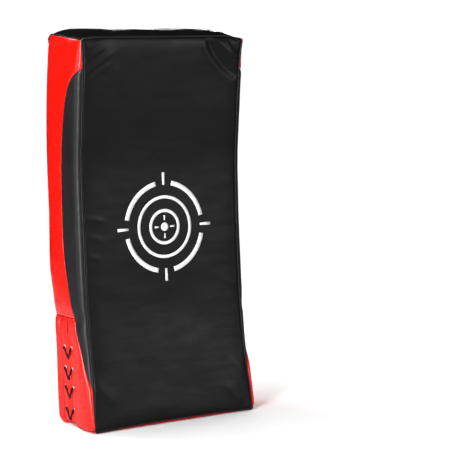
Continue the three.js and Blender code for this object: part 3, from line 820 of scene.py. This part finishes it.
def build_foot(row, towards):
    """A flap of the red foot; the lacing draws the two together along the middle."""
    def place(u, v):
        x = (2 * u - 1) * (HALF_WIDTH - 1.2)
        border = front_y(FACE_LOW) + 2.6 if towards < 0 else back_y(FACE_LOW) - 2.6
        y = towards * 1.2 + v * (border - towards * 1.2)
        z = foot_z(y) + 0.6
        if towards < 0:
            near = np.clip(1 - (y - front_y(0)) / FOOT_CURVE["front"], 0, 1)
            rolled = np.clip(1 - (y - border) / FOOT_ROLL, 0, 1)
            z = z - FACE_LOW * near**2 + (face_low(x) + 0.4) * (1 - np.sqrt(1 - rolled**2))
        return x, y, z

    points = grid(80, 44, place)
    lift = 0.5 * ripple(points, (30, 20, 20), 6.1)
    panel(f"foot_panel_{row}", points, (0, 0, -1), "red", lift, puff=1.6, roll=4, sink=0.6, fade=3,
          lowest=0.15, replaces=[f"foot_flap_{row}"])


def build_back():
    """The panel behind the back pad, fuller above and below it."""
    def place(u, v):
        z = FACE_LOW - 2 + v * (BACK_HIGH - FACE_LOW + 2)
        return (2 * u - 1) * (BACK_SEAM_X - PIPING), back_y(z) - 0.6, z

    points = grid(50, 104, place)
    z = points[..., 2]
    beyond = smooth((BACK_PAD_SIZE["low"] + 8 - z) / 22) + smooth((z - BACK_PAD_SIZE["high"] + 4) / 20)
    lift = 0.7 * ripple(points, (70, 70, 60), 4.4) + 0.3 * ripple(points, (40, 40, 14), 1.4)
    lift += 6 * beyond * rise(edge_distance(points), 8)
    panel("back_sheet", points, (0, 1, 0), "back", lift, puff=1.2, roll=6, replaces=["back_panel"])


def build_back_pad():
    """The raised pad, domed, and drawn in along a stitched border and under the grips' tabs."""
    half, low, high = BACK_PAD_SIZE["half_width"], BACK_PAD_SIZE["low"], BACK_PAD_SIZE["high"]

    def place(u, v):
        z = low + v * (high - low)
        return (2 * u - 1) * half, back_y(z) + 1.6, z

    flat = grid(72, 150, place)
    x, y, z = np.moveaxis(flat, -1, 0)
    edge = edge_distance(flat)
    wall = np.clip(edge / 9, 0, 1)
    raised = (back_pad_y(z) - y) * np.sqrt(1 - (1 - wall) ** 2)
    outer = relaxed(spots(x, y + raised, z), spots(x * 0, 1, 0), growth=0.012, inward=0.3, outward=1.2)
    border = -1.3 * hump(edge - 15, 1.6) - 0.9 * hump(edge - 22, 1.6)
    held = sum(hump(np.abs(x) - GRIP_X, 22) * hump(z - height, 16) for height in SEWN_HEIGHTS)
    ripples = 0.7 * ripple(flat, (50, 50, 60), 2.7) + 0.3 * ripple(flat, (60, 60, 12), 6.6)
    outer[..., 1] += (border + ripples - 0.9 * held) * smooth((edge - 4) / 8)
    obj = new_object("back_pad", *shell(outer, flat - (0, 0.3, 0)))
    dress(obj, "back", replaces=["back_pad_cover"])
    return outer


def seam_loop(low, high, half, profile, corner=5):
    """A closed line round a panel's border, with small round corners."""
    base = low(HALF_WIDTH)
    foot, head = half(base) - corner, half(high) - corner
    upright = np.linspace(base + corner + 4, high - corner - 4, 90)

    def arc(x, z, first):
        angles = np.radians(np.linspace(first, first + 90, 6))
        return [(x + corner * math.cos(a), z + corner * math.sin(a)) for a in angles]

    line = [(x, low(x)) for x in np.linspace(-foot, foot, 41)]
    line += arc(foot, base + corner, -90) + [(half(z), z) for z in upright]
    line += arc(head, high - corner, 0) + [(x, high) for x in np.linspace(head - 4, 4 - head, 40)]
    line += arc(-head, high - corner, 90) + [(-half(z), z) for z in upright[::-1]]
    line += arc(-foot, base + corner, 180)
    return np.array([(x, profile(z), z) for x, z in line[:-1]])


def build_piping():
    """Bound seams round the front and the back, and along the roof's two side seams."""
    front = seam_loop(face_low, FACE_HIGH + PIPING, seam_x, lambda z: front_y(z) + PIPING)
    back = seam_loop(lambda x: FACE_LOW - 3.5, BACK_HIGH + PIPING, lambda z: BACK_SEAM_X,
                     lambda z: back_y(z) - PIPING)
    for place, path in (("front", front), ("back", back)):
        section = wavering(ring_section(PIPING, 10), path, 14, 0.12)
        sweep(f"{place}_seam", path, frames_along(path, (0, 1, 0), closed=True), section, "black",
              replaces=[f"piping_{place}"], closed=True)
    y = np.linspace(front_y(FACE_HIGH) + 4, back_y(BACK_HIGH) - 4, 50)
    for hand, sign in HANDS:
        path = spots(sign * (HALF_WIDTH - 1.6), y, roof_z(y) - 1.1)
        sweep(f"roof_seam_{hand}", path, frames_along(path, (0, 0, 1)), ring_section(1.4, 8), "gloss")


# ---- lacing ----
LACE = dict(out=3.4, cross=2.2, inside=4.3, drop=18, stagger=2.6, spread=1.4, tail=6, corner=7,
            tail_length=20)


def lace_strand(first):
    """One strand: out through an eyelet, across to the slit, and inside to the next eyelet."""
    right, up = Vector((1, 0, 0)), Vector((0, 0, 1))
    pairs = [(Vector((-HALF_WIDTH, 0, z)), -right, -up) for z in LACE_HEIGHTS]
    pairs += [(Vector((x, 0, LACE_CHANNEL["lift"])), -up, right) for x in FOOT_PAIRS]
    pairs += [(Vector((HALF_WIDTH, 0, z)), right, up) for z in LACE_HEIGHTS[::-1]]
    dive = LACE["drop"] + (0 if first > 0 else LACE["stagger"])
    points = []
    for i, (at, out, travel) in enumerate(pairs):
        sign = first * (-1 if i % 2 else 1)

        def add(y, level, along):
            place = at + out * level + travel * along
            points.append((place[0], sign * y, place[2]))

        add(EYELET_OFFSET, -LACE["inside"], 0)
        add(EYELET_OFFSET, LACE["out"], 0.5)
        for part in (0.3, 0.75, 1):
            y = EYELET_OFFSET + (LACE["spread"] - EYELET_OFFSET) * part
            add(y, LACE["out"] + (LACE["cross"] - LACE["out"]) * part, dive * part)
        add(-LACE["spread"], -LACE["inside"], dive)
        if i == len(pairs) - 1:
            add(-LACE["tail"], -LACE["inside"], dive + LACE["tail_length"])
        elif pairs[i + 1][1] != out:
            corner = math.copysign(HALF_WIDTH - LACE["inside"], pairs[i + 1][0][0] + at[0])
            points.append((corner, -sign * LACE["corner"], LACE_CHANNEL["lift"] + LACE["inside"]))
    return points


def catmull_rom(points, steps):
    """A smooth curve through points, with its knots spaced by the square root of their distance."""
    points = np.array(points, float)
    points = np.vstack([2 * points[0] - points[1], points, 2 * points[-1] - points[-2]])
    line = []
    for near in (points[i:i + 4] for i in range(len(points) - 3)):
        knots = np.cumsum([0, *np.sqrt(np.linalg.norm(np.diff(near, axis=0), axis=1))])
        for t in np.linspace(knots[1], knots[2], steps, endpoint=False):
            def blend(a, b, i, j):
                return a + (b - a) * (t - knots[i]) / (knots[j] - knots[i])
            one, two, three = (blend(near[i], near[i + 1], i, i + 1) for i in range(3))
            line.append(blend(blend(one, two, 0, 2), blend(two, three, 1, 3), 1, 2))
    return np.array([*line, points[-2]])


def build_lacing():
    """The lace, its metal eyelets and the black underlay behind the slit."""
    route = catmull_rom([*lace_strand(1)[::-1], *lace_strand(-1)], 5)
    sweep("lace_cord", route, carried_frames(route), ring_section(LACE_RADIUS, 10), "cord", replaces=["lace"])

    profile = [(2.15, -2.4), (2.35, 0.2), (2.6, 1.0), (3.1, 1.35), (3.7, 1.2), (4.1, 0.6), (4.15, 0.15),
               (3.2, 0.1), (2.75, -0.4), (2.7, -2.4)]
    vertices = [(r * math.cos(a) * MM, r * math.sin(a) * MM, h * MM) for a in turns(24) for r, h in profile]
    faces = tube_faces(24, len(profile), closed=True)

    def eyelet(name, place, turn, replaces=()):
        ring = new_object(name, vertices, faces)
        ring.data.transform(Matrix.Translation(Vector(to_frame(place))) @ turn)
        dress(ring, "nickel", replaces=replaces)

    for hand, sign in HANDS:
        for row, towards in ROWS:
            for i, z in enumerate(LACE_HEIGHTS):
                node = f"eyelet_{hand}_{row}_{i + 1}"
                place = (sign * (HALF_WIDTH + 0.9), towards * EYELET_OFFSET, z)
                eyelet(f"side_{node}", place, Matrix.Rotation(sign * math.pi / 2, 4, "Y"), [node])
    for i, x in enumerate(FOOT_PAIRS):
        for row, towards in ROWS:
            place = (x, towards * EYELET_OFFSET, LACE_CHANNEL["lift"] + 0.4)
            eyelet(f"foot_eyelet_{row}_{i + 1}", place, Matrix.Rotation(math.pi, 4, "X"))

    outer, sole, bend = HALF_WIDTH - 6.7, LACE_CHANNEL["lift"] + 6.7, 12
    line = [(-outer, z) for z in np.linspace(220, sole + bend, 24)]
    line += [(-outer + bend - bend * math.cos(a), sole + bend - bend * math.sin(a))
             for a in np.linspace(0.2, math.pi / 2, 6)]
    line += [(x, sole) for x in np.linspace(-outer + bend + 8, 0, 16)]
    line += [(-x, z) for x, z in line[-2::-1]]
    path = np.array([(x, 0, z) for x, z in line])
    sweep("slit_underlay", path, frames_across(path, (0, 1, 0)), band_section(62, 1.5), "webbing",
          replaces=["lacing_underlay"])


# ---- stitching and print ----
def build_side_stitching(hand, sign, gusset, crescent, flaps):
    """Rows along the slit, the pleats, the crescent and the seam over the flaps."""
    outward = (sign, 0, 0)
    dark, heavy = [], []
    v = np.linspace(0.03, 0.97, 80)
    z = FLAP_SEAM_Z * v
    for (_, towards), flap in zip(ROWS, flaps):
        slit, border = flap_span(z, towards)
        for distance, rows in ((9.2, dark), (PLEAT, heavy)):
            u = (slit_middle(z) + towards * distance - slit) / (border - slit)
            rows.append((row_on(flap, u, v, 0.25)[(u > 0.02) & (u < 0.97)], outward))
    along = np.linspace(0.02, 0.98, 200)
    dark.append((row_on(crescent, 0.985, along, 0.2), outward))
    light = [(row_on(gusset, np.linspace(0.03, 0.97, 60), 0.006, 0.35), outward),
             (row_on(gusset, 0.975, along, 0.1), outward)]
    stitches(f"dark_stitching_{hand}", dark, "dark_thread", pitch=3.9, radius=0.58)
    stitches(f"heavy_stitching_{hand}", heavy, "dark_thread", pitch=4.8, length=3.4, radius=0.85)
    stitches(f"light_stitching_{hand}", light, "light_thread", pitch=4.6, radius=0.38)

    points, normals = gusset
    path = points[0] + normals[0] * 0.9 - (0, 0, 1.4)
    section = wavering(ring_section(1.5, 10), path, 9, 0.25)
    sweep(f"flap_seam_{hand}", path, frames_along(path, outward), section, "red")


def build_face_stitching(face):
    """Black stitches that hold the strike face to its piping."""
    along = np.linspace(0.01, 0.99, 200)
    places = ((along, 0.993), (along, 0.006), (0.012, along), (0.988, along))
    rows = [(row_on(face, u, v, 0.15), (0, -1, 0)) for u, v in places]
    stitches("face_stitching", rows, "webbing", pitch=4.4, radius=0.34)


def build_target(points):
    """A plain strike target printed on the face: rings, a centre dot and tick marks."""
    middle = points[:, points.shape[1] // 2, 2]
    centre_x, centre_z = 4, 374
    vertices, faces = [], []

    def mark(inner, outer, start, end):
        def place(u, v):
            angle = np.radians(start + (end - start) * u)
            radius = inner + (outer - inner) * v
            x, z = centre_x + radius * np.cos(angle), centre_z + radius * np.sin(angle)
            across = np.interp(x, points[0, :, 0], np.linspace(0, 1, points.shape[1]))
            up = np.interp(z, middle, np.linspace(0, 1, len(middle)))
            return np.moveaxis(sample(points, across, up), -1, 0)
        flat = grid(max(6, int((end - start) / 3)), 2, place)
        ink, cells = shell(flat - (0, 0.35, 0), flat + (0, 0.5, 0))
        faces.extend(np.array(cells) + len(vertices))
        vertices.extend(ink)

    for inner, outer in ((28, 34), (54, 60), (0.4, 8)):
        mark(inner, outer, 0, 360)
    for turn in (0, 90, 180, 270):
        mark(80, 89, turn + 12, turn + 78)
        mark(80, 104, turn - 1.6, turn + 1.6)
        mark(12.5, 22, turn - 5, turn + 5)
    dress(new_object("strike_target_print", vertices, faces), "print")


# ---- back hardware ----
GRIP = dict(half_width=15, half_depth=12, end_scale=0.62)
GRIP_LINE = [(0, 87, 572), (0, 108.5, 545), (0, 108.5, 380), (0, 85, 322)]
TACKING = dict(look="dark_thread", pitch=3.2, length=2.3, radius=0.36)


def half_round(width, depth, base, lean=1):
    """A padded section: round on one side and nearly flat on the other."""
    angles = np.linspace(-0.12, math.pi + 0.12, 17)
    across = width * np.sign(np.cos(angles)) * np.abs(np.cos(angles)) ** 0.85
    return np.stack([across, lean * (base + depth * np.maximum(np.sin(angles), -0.06))], axis=-1)


def build_grip(hand, sign):
    """A padded hand grip: leather outside, knobbly palm pad inside, webbing at both ends."""
    body = f"grip_{hand}"
    line = bezier(GRIP_LINE, 49) + (sign * GRIP_X, 0, 0)
    t = np.linspace(0, 1, 49)
    taper = GRIP["end_scale"] + (1 - GRIP["end_scale"]) * np.sqrt(np.maximum(0, np.sin(math.pi * t)))
    tangent, side, out = frames_across(line, (1, 0, 0))
    out = out * np.sign(out[24, 1])
    half = GRIP["half_width"]

    waves = 1 + 0.02 * np.sin(t * 26)
    section = half_round(half, GRIP["half_depth"] - 1.4, 1.2) * (taper * waves)[:, None, None]
    leather = sweep(f"grip_leather_{hand}", line, (tangent, side, out), section, "grip", body,
                    [f"grip_cover_{hand}"], subdivide=1)

    part = slice(3, 46)
    lumps = 1 + 0.035 * np.sin(t * 40) + 0.03 * np.array([noise.noise((3.3, sign, k * 9)) for k in t])
    section = half_round(half - 0.8, GRIP["half_depth"] - 2.2, 1, lean=-1) * (taper * lumps)[:, None, None]
    palm = sweep(f"grip_palm_{hand}", line[part], (tangent[part], side[part], out[part]), section[part],
                 "palm", body, [f"grip_palm_pad_{hand}"], subdivide=1)

    section = band_section((half - 1.2) * 2 * taper, 2.2)
    sweep(f"grip_core_webbing_{hand}", line, (tangent, side, out), section, "webbing", body,
          [f"grip_webbing_{hand}"])

    edges = (line + out * 3.9 * taper[:, None], side * (half - 0.4) * taper[:, None])
    rows = [((edges[0] + edge * edges[1])[2:-2], (edge, 0.3, 0)) for edge in (-1, 1)]
    stitches(f"grip_stitching_{hand}", rows, "light_thread", body, pitch=3.6, length=2.4, radius=0.36)

    build_grip_tab(hand, sign, "upper", 1, line[0] + tangent[0] * 1.5, line[0])
    build_grip_tab(hand, sign, "lower", -1, line[-1] - tangent[-1] * 1.5, line[-1])


def build_grip_tab(hand, sign, end, towards, tip, grip_end):
    """Webbing sewn flat to the pad, which bends out and runs on into the grip's end."""
    inner = grip_end[2] + towards * 5.5
    far = inner + towards * 34
    x = sign * GRIP_X
    rest = [(x, back_pad_y(z) + 1.9, z) for z in np.linspace(far, inner + towards * 9, 8)]
    bend = [(x, back_pad_y(inner) + 4.5, inner + towards * 4), (x, grip_end[1] - 5, inner + towards * 1.6)]
    path = catmull_rom([*rest, *bend, tip], 4)
    section = band_section(np.linspace(28, 19, len(path)), 2.3)
    obj = sweep(f"grip_tab_web_{end}_{hand}", path, frames_across(path, (1, 0, 0)), section, "webbing", None,
                [f"grip_tab_{end}_{hand}"])
    hinge_start = to_frame((x, 0, inner + towards * 3.5))
    hinge_end = to_frame((x, 0, grip_end[2] + towards * 0.5))
    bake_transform(obj)

    z = np.linspace(far - towards * 4, inner + towards * 13, 12)
    across = np.linspace(-11, 11, 12)
    places = [(11, z), (-11, z), (across, z), (-across, z), (across, z[0]), (across, z[-1])]
    rows = [(spots(x + aside, back_pad_y(level) + 3.15, level), (0, 1, 0)) for aside, level in places]
    stitches(f"tab_stitching_{end}_{hand}", rows, **TACKING)


STRAP = dict(y=82, z=604, tilt=math.radians(40), width=27)
STRAP_LINE = bezier([(-96, 16, 0), (-62, 32, 0), (66, 32, 0), (103, 10, 0)], 81)


def strap_place(points, origin=(0, STRAP["y"], STRAP["z"])):
    """From the forearm strap's own tilted frame (x, outward, width) to local millimetres."""
    c, s = math.cos(STRAP["tilt"]), math.sin(STRAP["tilt"])
    return np.asarray(points) @ np.array([(1, 0, 0), (0, c, s), (0, -s, c)]) + origin


def strap_layer(name, height, start, end, width, thickness, look, body, node):
    """One layer of the forearm strap, at a height over the band's middle line."""
    frames = frames_across(STRAP_LINE, (0, 0, 1))
    t = np.linspace(0, 1, 81)
    part = (t >= start - 1e-6) & (t <= end + 1e-6)
    path = strap_place((STRAP_LINE + frames[2] * height)[part])
    section = band_section(width * (1 + 0.28 * np.abs(2 * t[part] - 1) ** 4), thickness)
    sweep(name, path, [strap_place(vectors[part], 0) for vectors in frames], section, look, body, [node])


def build_arm_strap():
    """The forearm strap: band, hook and loop, tongue, ring and the two legs sewn to the pad."""
    width, band, tongue = STRAP["width"], "arm_strap", "arm_strap_tongue"
    strap_layer("strap_band", 0, 0, 1, width, 2.3, "webbing", band, "arm_strap_band")
    strap_layer("strap_hook", 2.15, 0.16, 0.66, width - 3, 1.2, "loops", band, "arm_strap_hook_patch")
    strap_layer("strap_loop", 3.65, 0.16, 0.58, width - 3, 1.2, "loops", tongue, "arm_strap_loop_patch")
    strap_layer("strap_tongue", 5.6, 0.045, 0.62, width, 2.1, "webbing", tongue, "arm_strap_tongue")

    line = STRAP_LINE
    start = unit(line[1] - line[0])

    def squared(ratio):
        return (np.sign(ratio) * np.abs(ratio) ** 0.45)[:, None]

    angles = turns(48)
    upright = np.array((0, 0, 15.5))
    loop = line[0] - start * 6.1 + start * 4 * squared(np.cos(angles)) + upright * squared(np.sin(angles))
    path = strap_place(loop)
    flat = np.cross(path[12] - path[0], path[24] - path[0])
    sweep("strap_ring", path, frames_along(path, flat, closed=True), ring_section(1.45, 12), "plastic", band,
          ["arm_strap_ring"], closed=True)

    build_strap_leg("left", -1, strap_place(line[0] - start * 7.5))
    build_strap_leg("right", 1, strap_place(line[-1] - (line[-1] - line[-2]) * 0.4))


def build_strap_leg(hand, sign, meet):
    """Webbing sewn flat beside the pad's edge, which rises and turns into the strap's end."""
    z = STRAP["z"]
    base = back_pad_y(z) + 1.9
    places = [(sign * x, base, z) for x in (139, 132, 125, 118)]
    places += [(sign * 111, base + 3.5, z), (sign * 107.8, (base + meet[1]) / 2 + 1, z + 1), tuple(meet)]
    path = catmull_rom(places, 5)
    tangent = tangents(path)
    turn = smooth(np.linspace(-1.2, 1, len(path))) * STRAP["tilt"]
    across = spots(0, -np.sin(turn), np.cos(turn))
    across = unit(across - tangent * np.sum(across * tangent, axis=1, keepdims=True))
    section = band_section(np.linspace(42, 29 if sign < 0 else 34, len(path)), 2.4)
    frames = (tangent, across, np.cross(tangent, across))
    obj = sweep(f"strap_leg_{hand}", path, frames, section, "webbing", None, [f"arm_strap_anchor_{hand}"])
    tuple(to_frame((sign * 116, 0, z)))
    tuple(to_frame((sign * 104, 0, z)))
    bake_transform(obj)
    column = np.linspace(z - 17, z + 17, 14)
    rows = [(spots(sign * x, base + 1.3, column), (0, 1, 0)) for x in (136, 122)]
    stitches(f"leg_stitching_{hand}", rows, **TACKING)


def build_lower_strap():
    """The reinforcing band low on the back, with a stitched edge above and below."""
    low, high, half = 87, 116, 138
    x = np.linspace(-half, half, 60)
    edge = half - np.abs(x)
    y = back_pad_y((low + high) / 2) + 1.6 - 7.5 * np.exp(-edge / 3.2)
    path = spots(x, y, (low + high) / 2)
    sweep("lower_band", path, frames_across(path, (0, 0, 1)), band_section(high - low, 2.2), "webbing",
          replaces=["lower_strap"])
    rows = [(spots(x, y + 1.25, z)[edge > 12], (0, 1, 0)) for z in (low + 3, high - 3)]
    stitches("lower_band_stitching", rows, "dark_thread")


def build_pad_stitching(pad):
    """A row of stitches all round, in the back pad's border channel."""
    u, v = 15 / 280, 15 / 630
    across, up = np.linspace(u, 1 - u, 160), np.linspace(v, 1 - v, 160)
    places = ((across, v), (across, 1 - v), (u, up), (1 - u, up))
    rows = [(sample(pad, *place) + (0, 0.2, 0), (0, 1, 0)) for place in places]
    stitches("pad_stitching", rows, "light_thread", pitch=4.6, radius=0.38)


# ---- stage, light and camera ----
def build_stage():
    """A round pale floor, whose edge fades out into the white of the studio."""
    circle = spots(np.cos(turns(96)), np.sin(turns(96)), 0)
    radii = (0, 0.3, 0.8, 1.4, 2.0, 2.5, 3.0)
    vertices = np.vstack([radius * circle for radius in radii])
    floor = new_object("studio_floor", vertices, tube_faces(len(radii), 96, capped=False))
    material, tree, shader = new_material("studio_paper")
    tint = mix_node(tree, map_node(tree, noise_node(tree, 3), 0, 1), (0.86, 0.86, 0.86), (0.9, 0.9, 0.9))
    reflected = add_node(tree, "LightPath", "Is Glossy Ray")
    feed(tree, shader, {
        "Base Color": mix_node(tree, reflected, tint, (0.2, 0.2, 0.2)), "Roughness": 0.95,
        "Specular IOR Level": 0.1,
    })
    distance = add_node(tree, "VectorMath", "Value", {0: place_node(tree)}, operation="LENGTH")
    faded = add_node(tree, "MixShader", "Shader", {
        0: map_node(tree, distance, 0, 1, 1.3, 2.7), 1: shader.outputs["BSDF"],
        2: add_node(tree, "BsdfTransparent", "BSDF"),
    })
    feed(tree, tree.nodes["Material Output"], {"Surface": faded})
    floor.data.materials.append(material)


def area_light(name, place, target, size, power, height=None):
    light = bpy.data.lights.new(name, "AREA")
    light.shape = "RECTANGLE"
    light.size = size
    light.size_y = height or size
    light.energy = power
    obj = bpy.data.objects.new(name, light)
    obj.location = place
    obj.rotation_euler = (Vector(target) - Vector(place)).to_track_quat("-Z", "Y").to_euler()
    obj.visible_camera = False
    bpy.context.scene.collection.objects.link(obj)


def build_air(seen, ahead, behind):
    """A studio that looks white, but whose walls give the object less light than that."""
    world = bpy.data.worlds.new("studio_air")
    world.use_nodes = True
    tree = world.node_tree
    depth = add_node(tree, "SeparateXYZ", "Y", {0: add_node(tree, "TexCoord", "Generated")})
    walls = map_node(tree, depth, ahead, behind, -0.4, 0.3)
    camera_ray = add_node(tree, "LightPath", "Is Camera Ray")
    strength = add_node(tree, "Mix", 0, {"Factor": camera_ray, 2: walls, 3: seen})
    feed(tree, tree.nodes["Background"], {"Strength": strength, "Color": (1, 1, 1)})
    bpy.context.scene.world = world
    bpy.context.scene.view_settings.view_transform = "Standard"


def build_lights():
    area_light("key_left", (-2.3, -1.5, 1.7), (0, 0, 0.35), 1.2, 76)
    area_light("strip_left", (-2.6, 0.2, 0.5), (0, 0, 0.4), 0.2, 5, height=1.5)
    area_light("edge_strip", (-1.5, -1.35, 0.45), (-0.175, -0.1, 0.6), 0.22, 13, height=0.8)
    area_light("overhead", (-0.5, 0.3, 2.9), (0, 0, 0), 1.6, 62)
    area_light("fill_front", (1.55, -2.7, 0.8), (0, 0, 0.35), 1.2, 12, height=0.7)
    area_light("back_high", (-0.9, 1.9, 2.6), (0, 0, 0.4), 1.0, 30)
    area_light("back_low", (1.7, 2.8, 0.6), (0, 0, 0.4), 1.3, 22)
    area_light("crown_glint", (1.5, 2.1, 1.05), (0, 0, 0.7), 0.9, 9, height=0.3)
    area_light("right_side", (2.4, 1.0, 1.4), (0, 0, 0.4), 1.2, 30)
    build_air(seen=1.02, ahead=0.12, behind=0.006)


CAMERA = dict(place=(-1.3098, -2.4853, 0.6058), target=(0, -0.0755, 0.375), roll=-2.14)


def build_camera():
    """At the photograph's angle: to the object's left and a little above its middle, tilted 2 degrees."""
    data = bpy.data.cameras.new("camera")
    data.sensor_width = 36
    data.lens = 113.9
    data.shift_x = 0.143
    data.shift_y = -0.0028
    camera = bpy.data.objects.new("camera", data)
    forward = (Vector(CAMERA["target"]) - Vector(CAMERA["place"])).normalized()
    turn = forward.to_track_quat("-Z", "Y").to_matrix().to_4x4()
    roll = Matrix.Rotation(math.radians(CAMERA["roll"]), 4, "Z")
    camera.matrix_world = Matrix.Translation(CAMERA["place"]) @ turn @ roll
    bpy.context.scene.collection.objects.link(camera)
    bpy.context.scene.camera = camera


# ---- fillings, and everything together ----
def inside_edges(points):
    """Rounds a filling's upright edges a little tighter than the cover round them."""
    points = points * (0.99, 1, 1)
    x, y, z = points.T.copy()
    for radius, facing, depth in ((16, 1, y - front_y(z)), (12, -1, back_y(z) - y)):
        a, b = np.abs(x) - (HALF_WIDTH - 1 - radius), radius - depth
        inside = (a > 0) & (b > 0)
        shrink = np.where(inside, np.maximum(a, b) / np.maximum(np.hypot(a, b), 1e-6), 1)
        points[:, 0] = np.where(inside, np.sign(x) * (HALF_WIDTH - 1 - radius + a * shrink), points[:, 0])
        points[:, 1] += np.where(inside, facing * b * (1 - shrink), 0)
    return points


def build_foam():
    """The fillings, cut a little small so that the sagging cover still holds them."""
    bodies = {"grip_foam_left": "grip_left", "grip_foam_right": "grip_right"}
    for node in ("foam_strike_layer", "foam_core", "foam_back_layer", "back_pad_foam", *bodies):
        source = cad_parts[node]
        corners = np.array([source.matrix_world @ v.co for v in source.data.vertices]) / MM - (0, SHIFT, 0)
        faces = [tuple(face.vertices) for face in source.data.polygons]
        obj = new_object(f"{node}_filling", to_frame(inside_edges(corners)), faces)
        dress(obj, "foam", bodies.get(node, "root"), [node])


def build_all():
    build_foam()
    face = build_strike_face()
    build_face_stitching(face)
    build_target(face[0])
    for hand, sign in HANDS:
        gusset, crescent = build_gusset(hand, sign), build_crescent(hand, sign)
        flaps = [build_flap(hand, sign, *row) for row in ROWS]
        build_side_stitching(hand, sign, gusset, crescent, flaps)
    build_roof()
    for row in ROWS:
        build_foot(*row)
    build_back()
    build_pad_stitching(build_back_pad())
    build_piping()
    build_lacing()
    for hand, sign in HANDS:
        build_grip(hand, sign)
    build_arm_strap()
    build_lower_strap()


build_camera()
build_stage()
build_lights()
build_all()
